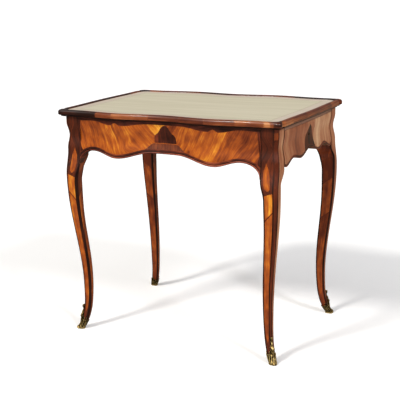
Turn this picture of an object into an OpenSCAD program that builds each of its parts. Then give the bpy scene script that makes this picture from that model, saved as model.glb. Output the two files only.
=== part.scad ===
// Writing table with a drawer in its right-hand end. Millimetres, +Z up.
// Origin: the middle of the footprint, on the floor. The front faces -Y, the drawer opens to +X.

/* [Top] */
// Length of the top over its bowed ends
top_length = 780; // [750:5:840]
// Depth of the top over its shaped front and back
top_depth = 540; // [510:2:580]
// Height of the table over its raised rim
table_height = 740; // [715:5:770]
// Height of the moulded rim
rim_height = 21; // [17:1:26]
// Width of the moulded rim
rim_width = 18; // [14:1:22]
// How far the writing surface lies below the rim
leather_sink = 4; // [2:0.5:6]
// Thickness of the leather
leather_thick = 1.5; // [1:0.25:2.5]
// How far the rim stands out beyond the frieze
overhang = 16; // [12:1:20]
// Radius of the ears at the four corners
ear_radius = 12; // [8:1:15]
// Length of the hollow beside each ear
notch_length = 26; // [20:1:30]
// Depth of the hollow beside each ear
notch_depth = 6; // [3:0.5:8]

/* [Frieze] */
// How far the ends of the table bow out in the middle
end_bow = 4; // [2:0.5:10]
// How far the front and back swell on each side of the middle
front_swell = 14; // [8:0.5:16]
// Depth of the hollow that runs round the frieze
frieze_hollow = 5.5; // [2:0.5:7]
// Thickness of the frieze boards
apron_thick = 20; // [18:1:24]
// Thickness of the veneer
veneer_thick = 1.2; // [0.8:0.1:1.5]
// Glue line under the veneer and between its pieces
glue = 0.1; // [0.1:0.05:0.2]
// Width of the dark banding along the bottom edge
banding = 13; // [9:1:16]
// Width of the dark banding under the top
top_banding = 12; // [9:1:14]
// Half width of the cartouche in the middle
cartouche_half = 38; // [32:1:42]

/* [Legs] */
// Width of a leg's front face where it carries the frieze
post_width = 54; // [48:1:60]
// Width of a leg's side face where it carries the frieze
post_depth = 50; // [46:1:54]
// Width of a leg's front face at the knee
knee_width = 46; // [43:0.5:48]
// Width of a leg's side face at the knee
knee_depth = 35.5; // [34:0.5:38]
// Width of a leg's front face at the ankle
ankle_width = 29; // [26:0.5:31]
// Width of a leg's side face at the ankle
ankle_depth = 22; // [21:0.5:26]
// How far the knee stands out in front of the frieze
knee_out = 13.5; // [10:0.5:15]
// How far the knee stands out beyond the frieze at the ends
knee_out_end = 2; // [0:0.5:5]
// How far the ankle lies in from the frieze, seen from the front
ankle_in = 29; // [24:1:32]
// How far the ankle lies in from the frieze, seen from the end
ankle_in_end = 11.5; // [7:0.5:14]
// How far the toe stands out beyond the ankle
toe_out = 8; // [6:0.5:12]
// Height of the ankle over the floor
ankle_height = 140; // [130:5:160]
// Leg's canted outer arris, measured along each face at the post
arris_cut = 11.5; // [9:0.5:13]

/* [Shoes] */
// Height of the leaf on a shoe
leaf_height = 84; // [70:2:95]
// Thickness of a shoe's wall
shoe_wall = 2.2; // [1.6:0.2:3]

/* [Drawer] */
// Length of the drawer box behind its front
drawer_length = 540; // [460:10:560]
// Thickness of the drawer sides and back
drawer_side = 10; // [8:0.5:11]
// Thickness of the drawer bottom
drawer_floor = 6; // [5:0.5:7]
// Thickness of the drawer front behind its veneer
drawer_front_thick = 25; // [23:0.5:28]
// Gap round the drawer front
drawer_gap = 1; // [0.6:0.1:1.5]
// Height of the rail above the drawer front
rail_height = 12; // [10:0.5:14]
// Number of dovetails at each corner of the drawer
dovetails = 3; // [2:1:4]
// Play between the drawer and what carries it
slide_play = 0.3; // [0.2:0.05:0.5]

/* [Hidden] */

kingwood = "#5a2c18";
tulipwood = "#c0661f";
walnut = "#6b3f22";
oak = "#b08a55";
bronze = "#8c7440";

// Heights
frieze_top = table_height - rim_height;
bracket_drop = 151;
frieze_low = frieze_top - bracket_drop;
hollow_height = frieze_top - 61;
collar_height = frieze_top - 106;
shoulder_height = frieze_top - 22;
knee_height = frieze_top - 194;
sole_thick = 4.5;
wood_foot = sole_thick + 0.3;

// Outer corner of the frieze, and the clear length between the posts of one side
frieze_x = top_length / 2 - end_bow - overhang;
frieze_y = top_depth / 2 - front_swell - overhang;
post_inner_x = frieze_x - post_width;
post_inner_y = frieze_y - post_depth;
joint = 0.05;

function ease(t) = (1 - cos(180 * t)) / 2;
function mix(a, b, t) = a + (b - a) * t;

// Smooth curve through stations [place, value]: level at each station
function through(st, at, i = 0) =
    at <= st[0][0] ? st[0][1] :
    i + 1 >= len(st) ? st[len(st) - 1][1] :
    at <= st[i + 1][0] ? mix(st[i][1], st[i + 1][1], ease((at - st[i][0]) / (st[i + 1][0] - st[i][0]))) :
    through(st, at, i + 1);

// Plan of the frieze: u runs along a side, the value is the distance from the middle of the table
function long_plan(u) =
    frieze_y + (abs(u) < post_inner_x ? front_swell * (1 - cos(360 * u / post_inner_x)) / 2 : 0);
function end_plan(u) =
    frieze_x + (abs(u) < post_inner_y ? end_bow * (1 + cos(180 * u / post_inner_y)) / 2 : 0);

// Turned-out toe: nothing at the ankle, one at the floor
function toe(z, ankle) = pow(max(0, 1 - (z - wood_foot) / (ankle - wood_foot)), 2);

// Vertical profile of the frieze and of the legs' outer arris, for a knee and an ankle
function arris(z, out, drawn_in) = toe_out * toe(z, ankle_height) + through([
    [ankle_height, -drawn_in], [knee_height, out],
    [collar_height, 0], [hollow_height, -frieze_hollow], [shoulder_height, 0]], z);
function front_arris(z) = arris(z, knee_out, ankle_in_end);
function end_arris(z) = arris(z, knee_out_end, ankle_in);

// Levels that every shaped piece shares, so that neighbours have the same facets
frieze_steps = 6;
step_height = bracket_drop / frieze_steps;
frieze_levels = [for (j = [0:frieze_steps]) frieze_low + j * step_height];
foot_rise = 80;
foot_steps = 3;
shank_steps = 10;
leg_levels = concat(
    [for (j = [0:foot_steps - 1]) wood_foot + j * foot_rise / foot_steps],
    [for (j = [0:shank_steps - 1])
        mix(wood_foot + foot_rise, frieze_low, j / shank_steps)],
    frieze_levels);
front_relief = [for (z = frieze_levels) [z, front_arris(z)]];
end_relief = [for (z = frieze_levels) [z, end_arris(z)]];

// Top

inner_radius = 24;
corner_steps = 10;
ear_steps = 3;
long_steps = 24;
end_steps = 14;
ear_x = frieze_x + overhang - ear_radius;
ear_y = frieze_y + overhang - ear_radius;
inner_x = frieze_x + overhang - rim_width - inner_radius;
inner_y = frieze_y + overhang - rim_width - inner_radius;
ear_flat = 2;
notch_end = ear_y - ear_flat - notch_length;
notch_radius = (pow(notch_length / 2, 2) + pow(notch_depth, 2)) / (2 * notch_depth);
notch_angle = asin(notch_length / 2 / notch_radius);
notch_steps = 6;

// Point on an arc round the corner (u, w), from the mitre at 45 degrees
function arc(u, w, r, a) = [u + r * cos(a), w + r * sin(a)];

// Outer and inner outline of the rim along a long side, as (u, w) from mitre to middle
long_outer_half = concat(
    [for (i = [0:ear_steps - 1]) arc(ear_x, ear_y, ear_radius, 45 + 45 * i / ear_steps)],
    [for (i = [0:long_steps / 2 - 1]) let(u = ear_x * (1 - 2 * i / long_steps)) [u, long_plan(u) + overhang]]);
long_inner_half = concat(
    [for (i = [0:ear_steps - 1]) arc(inner_x, inner_y, inner_radius, 45 + 45 * i / ear_steps)],
    [for (i = [0:long_steps / 2 - 1])
        let(u = inner_x * (1 - 2 * i / long_steps)) [u, long_plan(u) + overhang - rim_width]]);
long_outer = concat(flip_half(long_outer_half), [[0, long_plan(0) + overhang]], reverse(long_outer_half));
long_inner = concat(flip_half(long_inner_half), [[0, long_plan(0) + overhang - rim_width]],
    reverse(long_inner_half));

// The same along an end, where the hollow beside the ear comes in
end_w = frieze_x + overhang;
end_outer_half = concat(
    [for (i = [0:ear_steps]) arc(ear_y, ear_x, ear_radius, 45 + 45 * i / ear_steps)],
    [for (i = [0:notch_steps]) let(a = notch_angle * (1 - 2 * i / notch_steps))
        [ear_y - ear_flat - notch_length / 2 + notch_radius * sin(a),
         end_w - notch_depth + notch_radius - notch_radius * cos(a)]],
    [for (i = [1:end_steps / 2 - 1]) let(u = notch_end * (1 - 2 * i / end_steps)) [u, end_plan(u) + overhang]]);
end_inner_half = concat(
    [for (i = [0:corner_steps]) arc(inner_y, inner_x, inner_radius, 45 + 45 * i / corner_steps)],
    [for (i = [1:end_steps / 2 - 1])
        let(u = inner_y * (1 - 2 * i / end_steps)) [u, end_plan(u) + overhang - rim_width]]);
end_outer = concat(flip_half(end_outer_half), [[0, end_plan(0) + overhang]], reverse(end_outer_half));
end_inner = concat(flip_half(end_inner_half), [[0, end_plan(0) + overhang - rim_width]],
    reverse(end_inner_half));

function reverse(path) = [for (i = [len(path) - 1:-1:0]) path[i]];
function flip_half(path) = [for (p = path) [-p[0], p[1]]];

// Outline inside the rim, all round
inner_outline = concat(
    [for (i = [0:len(long_inner) - 2]) [long_inner[i][0], -long_inner[i][1]]],
    [for (i = [0:len(end_inner) - 2]) [end_inner[i][1], end_inner[i][0]]],
    [for (i = [0:len(long_inner) - 2]) [-long_inner[i][0], long_inner[i][1]]],
    [for (i = [0:len(end_inner) - 2]) [-end_inner[i][1], -end_inner[i][0]]]);

// Section of the rim: distance in from its face, height under its crest
rim_profile = [
    [rim_width, -rim_height], [4, -rim_height], [0, 5 - rim_height],
    [0, -6], [1.5, -2], [5, 0], [rim_width - 5, 0], [rim_width, -leather_sink]];

module rim_side(outer, inner) {
    n = len(outer);
    m = len(rim_profile);
    points = [for (i = [0:n - 1], p = rim_profile)
        let(q = mix(outer[i], inner[i], p[0] / rim_width)) [q[0], -q[1], table_height + p[1]]];
    polyhedron(points, concat(
        [for (i = [0:n - 2], j = [0:m - 1], t = quad(i * m + j, i * m + (j + 1) % m,
            (i + 1) * m + (j + 1) % m, (i + 1) * m + j)) t],
        [[for (j = [m - 1:-1:0]) j]],
        [[for (j = [0:m - 1]) (n - 1) * m + j]]), convexity = 4);
}

// Two triangles for a four-cornered cell, less any that has collapsed
function quad(a, b, c, d) = [for (t = [[a, b, c], [a, c, d]])
    if (t[0] != t[1] && t[1] != t[2] && t[2] != t[0]) t];

module rim_front() { color(kingwood) rim_side(long_outer, long_inner); }
module rim_back() { color(kingwood) rotate([0, 0, 180]) rim_side(long_outer, long_inner); }
module rim_right() { color(kingwood) rotate([0, 0, 90]) rim_side(end_outer, end_inner); }
module rim_left() { color(kingwood) rotate([0, 0, -90]) rim_side(end_outer, end_inner); }

module top_board() {
    color(oak) translate([0, 0, frieze_top])
        linear_extrude(rim_height - leather_sink - leather_thick) polygon(inner_outline);
}

module leather_top() {
    color("#cfc8ab") translate([0, 0, table_height - leather_sink - leather_thick])
        linear_extrude(leather_thick) polygon(inner_outline);
}

// Shaped sheets of the frieze

// Closed sheet between the lines lo and hi of each strip [u, lo, hi]. Its outer face lies "back"
// behind the frieze's surface and its inner face is "thick" further in, or flat at distance "flat".
module sheet(strips, end_side, back, thick = 0, flat = undef) {
    n = frieze_steps;
    m = len(strips);
    first = [for (s = strips) max(0, floor((s[1] - frieze_low) / step_height))];
    last = [for (s = strips) min(n, ceil((s[2] - frieze_low) / step_height))];
    heights = [for (s = strips, z = frieze_levels) max(s[1], min(s[2], z))];
    outer = [for (i = [0:m - 1], j = [0:n]) let(u = strips[i][0], z = heights[i * (n + 1) + j])
        [u, back - (end_side ? end_plan(u) + lookup(z, end_relief) : long_plan(u) + lookup(z, front_relief)), z]];
    inner = [for (p = outer) [p[0], is_undef(flat) ? p[1] + thick : -flat, p[2]]];
    back_face = m * (n + 1);
    function at(i, j) = i * (n + 1) + max(first[i], min(last[i], j));
    polyhedron(concat(outer, inner), concat(
        [for (i = [0:m - 2], j = [0:n - 1], t = quad(at(i, j), at(i, j + 1),
            at(i + 1, j + 1), at(i + 1, j))) t],
        [for (i = [0:m - 2], j = [0:n - 1], t = quad(back_face + at(i, j), back_face + at(i + 1, j),
            back_face + at(i + 1, j + 1), back_face + at(i, j + 1))) t],
        [for (i = [0:m - 2], t = quad(at(i, 0), at(i + 1, 0),
            back_face + at(i + 1, 0), back_face + at(i, 0))) t],
        [for (i = [0:m - 2], t = quad(at(i, n), back_face + at(i, n),
            back_face + at(i + 1, n), at(i + 1, n))) t],
        [for (j = [0:n - 1], t = quad(at(0, j), back_face + at(0, j),
            back_face + at(0, j + 1), at(0, j + 1))) t],
        [for (j = [0:n - 1], t = quad(at(m - 1, j), at(m - 1, j + 1),
            back_face + at(m - 1, j + 1), back_face + at(m - 1, j))) t]), convexity = 6);
}

// Scalloped bottom edge of the front and back
middle_drop = 99;
lobe_drop = 122;
arch_drop = 105;
flat_half = 44;
lobe_at = 170;
arch_at = 254;
function long_bottom(u) = let(a = abs(u)) a < arch_at ?
    frieze_top - through([[0, middle_drop], [flat_half, middle_drop], [lobe_at, lobe_drop], [arch_at, arch_drop]], a) :
    frieze_top - bracket_drop + (bracket_drop - arch_drop)
        * sqrt(max(0, 1 - pow((a - arch_at) / (post_inner_x - arch_at), 2)));

// Upper line of the banding, which keeps its width round the bracket
function long_band_top(u) = let(a = abs(u)) a < arch_at ? long_bottom(a) + banding :
    frieze_low + (bracket_drop - arch_drop + banding)
        * sqrt(max(0, 1 - pow((a - arch_at) / (post_inner_x - arch_at + banding), 2)));

// Scalloped bottom edge of the ends
end_middle_drop = 94;
end_lobe_drop = 114;
end_hump_drop = 104;
tongue_drop = 122;
end_lobe_at = 72;
end_hump_at = 122;
tongue_round = 12;
function end_bottom(u) = frieze_top - through([[0, end_middle_drop], [end_lobe_at, end_lobe_drop],
    [end_hump_at, end_hump_drop], [post_inner_y - tongue_round, tongue_drop]], abs(u));
function tongue(u, half) = let(t = max(0, (abs(u) - half + tongue_round) / tongue_round))
    end_bottom(u) + tongue_round * (1 - sqrt(max(0, 1 - t * t)));

// Upper edge of the light leaves on the front and back, with its small notch above each lobe
function long_leaf_top(u) = frieze_top - through([[0, top_banding + 2], [60, top_banding],
    [lobe_at - 18, top_banding + 9], [lobe_at, top_banding + 3], [lobe_at + 18, top_banding + 9],
    [arch_at, top_banding], [post_inner_x, top_banding + 5]], abs(u));

// Bell-shaped cartouche on the front and back, and the foot that it stands on
bell_base = frieze_top - 68;
foot_reach = 40;
bell_marks = [0, 0.2, 0.4, 0.58, 0.8, 1];
bell_drops = [15, 18, 24, 32, 38, 50];
function bell_top(u) = frieze_top - lookup(abs(u) / cartouche_half,
    [for (i = [0:len(bell_marks) - 1]) [bell_marks[i], bell_drops[i]]]);
bell_line = 2;
function foot_top(u) = bell_base - bell_line - through([[cartouche_half, 0],
    [cartouche_half + foot_reach,
     bell_base - bell_line - long_band_top(cartouche_half + foot_reach)]], abs(u));

// Pointed cartouche on the ends
end_banding = 9;
end_point_edge = cartouche_half + 5;
point_marks = [0, 0.26, 0.46, 0.7, 0.78, 1];
point_drops = [22, 32, 44, 61, 74, frieze_top - end_bottom(end_point_edge) - end_banding];
function point_top(u) = frieze_top - lookup(abs(u) / end_point_edge,
    [for (i = [0:len(point_marks) - 1]) [point_marks[i], point_drops[i]]]);

// Stations along a side: even steps between a and b, with the ends
function stations(a, b, steps) = [for (i = [0:steps]) mix(a, b, i / steps)];
function both_ways(us) = concat([for (i = [len(us) - 1:-1:1]) -us[i]], us);

// Closer where the edge turns down into the legs, or round the corner of the drawer front
function long_places(half) = both_ways(concat(stations(0, arch_at, 9),
    [for (a = [22.5:22.5:90]) arch_at + (half - arch_at) * sin(a)]));
function end_places(half) = both_ways(concat(stations(0, end_lobe_at, 3),
    [for (i = [1:3]) mix(end_lobe_at, end_hump_at, i / 3)],
    [for (i = [1:3]) mix(end_hump_at, half - tongue_round, i / 3)],
    [for (a = [30:30:90]) half - tongue_round * (1 - sin(a))]));

leaf_gap = glue / 2;
long_foot_edge = cartouche_half + foot_reach;
edge_step = arch_at / 9;

// Upper line of the banding on its own facets
function band_edge(u) = lookup(abs(u), [for (i = [0:9]) [i * edge_step, long_band_top(i * edge_step)]]);

function long_leaf_low(u) = abs(u) <= cartouche_half ? bell_top(u) :
    abs(u) < long_foot_edge ? foot_top(u) : abs(u) < arch_at ? band_edge(u) : long_band_top(u);

module long_leaves() {
    half = concat(
        [for (t = bell_marks) max(leaf_gap, cartouche_half * t)],
        [cartouche_half + glue, 2 * edge_step, long_foot_edge],
        [for (u = long_places(post_inner_x - joint)) if (u > long_foot_edge + 5) u]);
    strips = [for (i = [0:len(half) - 1])
        [half[i], long_leaf_low(half[i]) + glue, long_leaf_top(half[i])]];
    color(tulipwood) {
        sheet(strips, false, 0, veneer_thick);
        sheet([for (i = [len(strips) - 1:-1:0]) [-strips[i][0], strips[i][1], strips[i][2]]],
            false, 0, veneer_thick);
    }
}

module long_banding() {
    us = long_places(post_inner_x - joint);
    color(kingwood) {
        sheet([for (u = us) [u, long_bottom(u), long_band_top(u) - glue]], false, 0, veneer_thick);
        sheet([for (u = us) [u, long_leaf_top(u) + glue, frieze_top - joint]], false, 0, veneer_thick);
    }
}

module long_cartouche() {
    foot = [0, edge_step, cartouche_half, 2 * edge_step, long_foot_edge - glue];
    color(kingwood) {
        sheet([for (t = both_ways(bell_marks)) let(u = t * (cartouche_half - glue))
            [u, bell_base, bell_top(u) - glue]], false, 0, veneer_thick);
        sheet([for (u = both_ways(foot)) [u, band_edge(u),
            max(foot_top(u) - glue, band_edge(u) + joint)]], false, 0, veneer_thick);
    }
}

function end_leaf_low(u) = abs(u) < end_point_edge ? point_top(u) : end_bottom(u) + end_banding;

module end_leaves(half, top, low_edge) {
    places = concat([for (t = point_marks) max(leaf_gap, end_point_edge * t)],
        [for (u = end_places(half - joint)) if (u > end_point_edge + 3) u]);
    strips = [for (u = places) [u, max(end_leaf_low(u), low_edge(u) + end_banding) + glue, top]];
    color(tulipwood) {
        sheet(strips, true, 0, veneer_thick);
        sheet([for (i = [len(strips) - 1:-1:0]) [-strips[i][0], strips[i][1], strips[i][2]]],
            true, 0, veneer_thick);
    }
}

module end_band(half, low_edge) {
    color(kingwood)
        sheet([for (u = end_places(half - joint)) [u, low_edge(u), low_edge(u) + end_banding - glue]],
            true, 0, veneer_thick);
}

module end_cartouche() {
    color(walnut)
        sheet([for (t = both_ways(point_marks)) let(u = t * (end_point_edge - glue))
            [u, end_bottom(u) + end_banding, max(point_top(u) - glue, end_bottom(u) + end_banding + joint)]],
            true, 0, veneer_thick);
}

// Frieze boards with their tenons

tenon_thick = 8;
tenon_length = 25;
tenon_top = frieze_top - 14;
tenon_low = frieze_top - 96;
tenon_back = 2;
// The boards lie a little further back, clear of the veneer's own facets on the curves
core_back = veneer_thick + glue + 0.3;
apron_flat_y = frieze_y - apron_thick;
apron_flat_x = frieze_x - apron_thick;

// A tenon on one end of a board whose flat back lies at distance w from the middle
module tenon(half, w, play) {
    for (side = [-1, 1])
        translate([side > 0 ? half - 5 : -half - tenon_length - play, -w - tenon_back - tenon_thick - play,
                tenon_low - play])
            cube([tenon_length + 5 + play, tenon_thick + 2 * play, tenon_top - tenon_low + 2 * play]);
}

module long_apron() {
    color(oak) union() {
        sheet([for (u = long_places(post_inner_x)) [u, long_bottom(u), frieze_top]],
            false, core_back, 0, apron_flat_y);
        tenon(post_inner_x, apron_flat_y, 0);
    }
}

module end_apron() {
    color(oak) union() {
        sheet([for (u = end_places(post_inner_y)) [u, end_bottom(u), frieze_top]],
            true, core_back, 0, apron_flat_x);
        tenon(post_inner_y, apron_flat_x, 0);
    }
}

module apron_front() { long_apron(); }
module apron_back() { rotate([0, 0, 180]) long_apron(); }
module apron_left() { rotate([0, 0, -90]) end_apron(); }
module front_leaves() { long_leaves(); }
module front_banding() { long_banding(); }
module front_cartouche() { long_cartouche(); }
module back_leaves() { rotate([0, 0, 180]) long_leaves(); }
module back_banding() { rotate([0, 0, 180]) long_banding(); }
module back_cartouche() { rotate([0, 0, 180]) long_cartouche(); }

module left_leaves() {
    rotate([0, 0, -90]) end_leaves(post_inner_y, frieze_top - rail_height - glue, function(u) end_bottom(u));
}

module left_banding() {
    rotate([0, 0, -90]) {
        end_band(post_inner_y, function(u) end_bottom(u));
        color(kingwood)
            sheet([for (u = end_places(post_inner_y - joint)) [u, frieze_top - rail_height, frieze_top - joint]],
                true, 0, veneer_thick);
    }
}

module left_cartouche() { rotate([0, 0, -90]) end_cartouche(); }

// Legs

// Inner faces of a leg: they run from the bracket to the knee, the ankle and the turned-out toe
inner_ankle = ankle_height + 40;
bracket_foot = knee_height - 20;
end_bracket_foot = frieze_low - 18;
calf = knee_height - 65;
inner_toe = toe_out + 6;
function front_inner(z) = inner_toe * toe(z, inner_ankle) + through([
    [inner_ankle, frieze_x - ankle_in - ankle_width], [calf, frieze_x + knee_out_end - knee_width],
    [bracket_foot, frieze_x + knee_out_end - knee_width], [frieze_low, post_inner_x]], z);
function side_inner(z) = inner_toe * toe(z, inner_ankle) + through([
    [inner_ankle, frieze_y - ankle_in_end - ankle_depth], [calf - 30, frieze_y + knee_out - knee_depth],
    [end_bracket_foot, frieze_y + knee_out - knee_depth], [frieze_low + step_height, post_inner_y]], z);
function cant(z) = lookup(z, [[ankle_height, arris_cut * 0.48], [knee_height, arris_cut]]);
function eased_edge(z) = lookup(z, [[ankle_height, 2.5], [knee_height, 3.5], [frieze_low, 1.5]]);
function inner_cut(z) = lookup(z, [[ankle_height, 5], [knee_height, 6.5], [frieze_low, 1.5]]);

// The sixteen points round a leg at one height, for the leg in the corner (+x, -y): on each side
// its two arrises, and two points between them that only the shoe uses
function leg_section(z) =
    let(x = frieze_x + end_arris(z), y = frieze_y + front_arris(z))
    let(a = front_inner(z), b = side_inner(z), k = cant(z), e = eased_edge(z), f = inner_cut(z), m = 2)
    [[x - k, -y], [x - k - m, -y], [a + f + m, -y], [a + f, -y],
     [a, -y + f], [a, -y + f + m], [a, -b - e - m], [a, -b - e],
     [a + e, -b], [a + e + m, -b], [x - e - m, -b], [x - e, -b],
     [x, -b - e], [x, -b - e - m], [x, -y + k + m], [x, -y + k]];
arrises = [0, 3, 4, 7, 8, 11, 12, 15];

leg_sections = [for (z = leg_levels) leg_section(z)];

// Section between two levels, on the leg's own facets
function leg_at(z, i = 0) = i + 2 >= len(leg_levels) || z <= leg_levels[i + 1] ?
    let(t = (z - leg_levels[i]) / (leg_levels[i + 1] - leg_levels[i]))
        [for (k = [0:15]) mix(leg_sections[i][k], leg_sections[i + 1][k], t)] :
    leg_at(z, i + 1);

// Solid through rings of points, listed upwards, clockwise seen from above
module loft(rings) {
    n = len(rings[0]);
    m = len(rings);
    foot = (rings[0][0] + rings[0][n / 2]) / 2;
    head = (rings[m - 1][0] + rings[m - 1][n / 2]) / 2;
    polyhedron(concat([for (r = rings, p = r) p], [foot, head]), concat(
        [for (i = [0:m - 2], j = [0:n - 1], t = quad(i * n + j, i * n + (j + 1) % n,
            (i + 1) * n + (j + 1) % n, (i + 1) * n + j)) t],
        [for (j = [0:n - 1]) [(j + 1) % n, j, m * n]],
        [for (j = [0:n - 1]) [(m - 1) * n + j, (m - 1) * n + (j + 1) % n, m * n + 1]]), convexity = 6);
}

pin_height = 15;
pin_radius = 1;
pin_play = 0.1;

// The bore or body of the pin that holds a shoe, driven from the inner face
module shoe_pin(radius, from, reach) {
    section = leg_at(pin_height);
    translate([section[5][0] - from, (section[5][1] + section[6][1]) / 2, pin_height])
        rotate([0, 90, 0]) cylinder(h = reach, r = radius, $fn = 24);
}

// One leg with the mortises for a tenoned board on each side
module leg(front_board, side_board, drawer_post) {
    color(kingwood) difference() {
        loft([for (i = [0:len(leg_levels) - 1]) [for (k = arrises)
            [leg_sections[i][k][0], leg_sections[i][k][1], leg_levels[i]]]]);
        if (front_board) tenon(post_inner_x, apron_flat_y, glue);
        if (side_board) rotate([0, 0, 90]) tenon(post_inner_y, apron_flat_x, glue);
        if (drawer_post) {
            rail_tails(glue);
            bearer_tenons(glue);
        }
        shoe_pin(pin_radius + pin_play, 1, 9 + pin_play);
    }
}

module leg_front_right() { leg(true, false, true); }
module leg_back_right() { mirror([0, 1, 0]) leg(true, false, true); }
module leg_front_left() { mirror([1, 0, 0]) leg(true, true, false); }
module leg_back_left() { mirror([1, 0, 0]) mirror([0, 1, 0]) leg(true, true, false); }

// Light reserves let into the faces of a leg

reserve_thick = 0.7;
upper_tip = frieze_low + 47;
upper_foot = knee_height + 9;
lower_top = knee_height + 1;
lower_foot = 98;
tip_share = 0.08;

// Height levels of an inlay from a to b, with the leg's own levels between
function inlay_levels(a, b) = concat([a], [for (z = leg_levels) if (z > a + 2 && z < b - 2) z], [b]);

// Inlay on the face between arrises p and q, from the share "from" of its width to the share "to"
module inlay(p, q, normal, levels, from, to) {
    loft([for (z = levels) let(s = leg_at(z), c = mix(s[p], s[q], from(z)), d = mix(s[p], s[q], to(z)))
        [for (v = [c + normal * joint, d + normal * joint,
            d + normal * reserve_thick, c + normal * reserve_thick]) [v[0], v[1], z]]]);
}

// Front or outer reserve above the knee: rounded at its foot, pointed at its head
function knee_swell(z) = lookup(z, [[upper_foot, 0.55], [upper_foot + 8, 1], [upper_tip - 28, 1],
    [upper_tip - 16, 0.72], [upper_tip - 7, 0.36], [upper_tip, tip_share]]);

module reserves() {
    faces = [[3, 0, [0, -1]], [7, 4, [-1, 0]], [11, 8, [0, 1]], [15, 12, [1, 0]]];
    upper = concat(inlay_levels(upper_foot, upper_tip - 28), [upper_tip - 16, upper_tip - 7, upper_tip]);
    lower = inlay_levels(lower_foot, lower_top);
    color(tulipwood) for (f = faces) {
        if (f[0] == 3)
            inlay(f[0], f[1], f[2], upper, function(z) 0.42 - 0.32 * knee_swell(z),
                function(z) 0.42 + 0.3 * knee_swell(z));
        if (f[0] == 15)
            inlay(f[0], f[1], f[2], upper, function(z) 0.58 - 0.3 * knee_swell(z),
                function(z) 0.58 + 0.32 * knee_swell(z));
        if (f[0] == 15) inlay(f[0], f[1], f[2], lower, function(z) 0.1, function(z) 0.85);
        else inlay(f[0], f[1], f[2], lower, function(z) 0.15, function(z) 0.92);
    }
}

module reserves_front_right() { reserves(); }
module reserves_back_right() { mirror([0, 1, 0]) reserves(); }
module reserves_front_left() { mirror([1, 0, 0]) reserves(); }
module reserves_back_left() { mirror([1, 0, 0]) mirror([0, 1, 0]) reserves(); }

// Shoes: a cast cup whose leaf climbs the outer arris, open at the back

shoe_play = 0.35;
heel_height = 26;
// How high the shoe's edge stands at each corner of the section, as a share of the leaf
shoe_edge = [1, 0.72, 0.42, 0.36, 0.34, 0.3, 0.3, 0.34, 0.34, 0.3, 0.3, 0.34, 0.36, 0.42, 0.72, 1];
// How much of the toe's roll each corner takes
roll_share = [1, 0.62, 0.2, 0.1, 0, 0, 0, 0, 0, 0, 0, 0, 0.1, 0.2, 0.62, 1];
toe_roll = 9;
leaf_curl = 3;
shoe_steps = 5;

function outward(s, k) = let(c = (s[0] + s[4] + s[8] + s[12]) / 4, d = s[k] - c) d / norm(d);
function shoe_top(k) = max(heel_height, leaf_height * shoe_edge[k]);
function shoe_height(k, t) = mix(sole_thick, shoe_top(k), t);
function shoe_point(k, z, out) = let(s = leg_at(max(z, wood_foot)), v = s[k] + outward(s, k) * out) [v[0], v[1], z];
function shoe_swell(k, t) = shoe_wall + roll_share[k] * (toe_roll * pow(max(0, 1 - t * 1.6), 2)
    + leaf_curl * pow(max(0, t * 2 - 1), 3));

module shoe() {
    n = 16;
    rows = shoe_steps;
    outer = concat([for (k = [0:n - 1]) shoe_point(k, 0, shoe_wall + roll_share[k] * toe_roll * 0.55)],
        [for (j = [0:rows], k = [0:n - 1]) let(t = j / rows)
            shoe_point(k, shoe_height(k, t), shoe_play + shoe_swell(k, t))]);
    inner = [for (j = [0:rows], k = [0:n - 1]) shoe_point(k, shoe_height(k, j / rows), shoe_play)];
    inside = len(outer);
    color(bronze) difference() {
        polyhedron(concat(outer, inner), concat(
            [for (j = [0:rows], k = [0:n - 1], t = quad(j * n + k, j * n + (k + 1) % n,
                (j + 1) * n + (k + 1) % n, (j + 1) * n + k)) t],
            [for (j = [0:rows - 1], k = [0:n - 1], t = quad(inside + j * n + k, inside + (j + 1) * n + k,
                inside + (j + 1) * n + (k + 1) % n, inside + j * n + (k + 1) % n)) t],
            [for (k = [0:n - 1], t = quad((rows + 1) * n + k, (rows + 1) * n + (k + 1) % n,
                inside + rows * n + (k + 1) % n, inside + rows * n + k)) t],
            [[for (k = [n - 1:-1:0]) k]],
            [[for (k = [0:n - 1]) inside + k]]), convexity = 8);
        shoe_pin(pin_radius + pin_play, 5, 6);
    }
}

module shoe_front_right() { shoe(); }
module shoe_back_right() { mirror([0, 1, 0]) shoe(); }
module shoe_front_left() { mirror([1, 0, 0]) shoe(); }
module shoe_back_left() { mirror([1, 0, 0]) mirror([0, 1, 0]) shoe(); }

module shoe_pins() {
    color(bronze) for (mx = [0, 1], my = [0, 1])
        mirror([mx, 0, 0]) mirror([0, my, 0]) shoe_pin(pin_radius, shoe_play + shoe_wall, 10.5);
}

// Frame round the drawer

rail_low = frieze_top - rail_height;
rail_back = frieze_x - 26;
tail_reach = 22;
tail_root = 9;
tail_end = 14;
bearer_top = frieze_top - 83;
bearer_thick = 12;
bearer_front = frieze_x - drawer_front_thick - 1.5;
bearer_back = post_inner_x;
bearer_tenon = 18;
tail_mid = frieze_x - 15;

// Dovetailed ends of the top rail, let down into the tops of the posts
module rail_tails(play) {
    for (side = [-1, 1])
        translate([0, 0, rail_low - play]) linear_extrude(rail_height + 2 * play) polygon([
            [tail_mid - tail_root / 2 - play, side * (post_inner_y - 1)],
            [tail_mid + tail_root / 2 + play, side * (post_inner_y - 1)],
            [tail_mid + tail_end / 2 + play, side * (post_inner_y + tail_reach + play)],
            [tail_mid - tail_end / 2 - play, side * (post_inner_y + tail_reach + play)]]);
}

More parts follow.
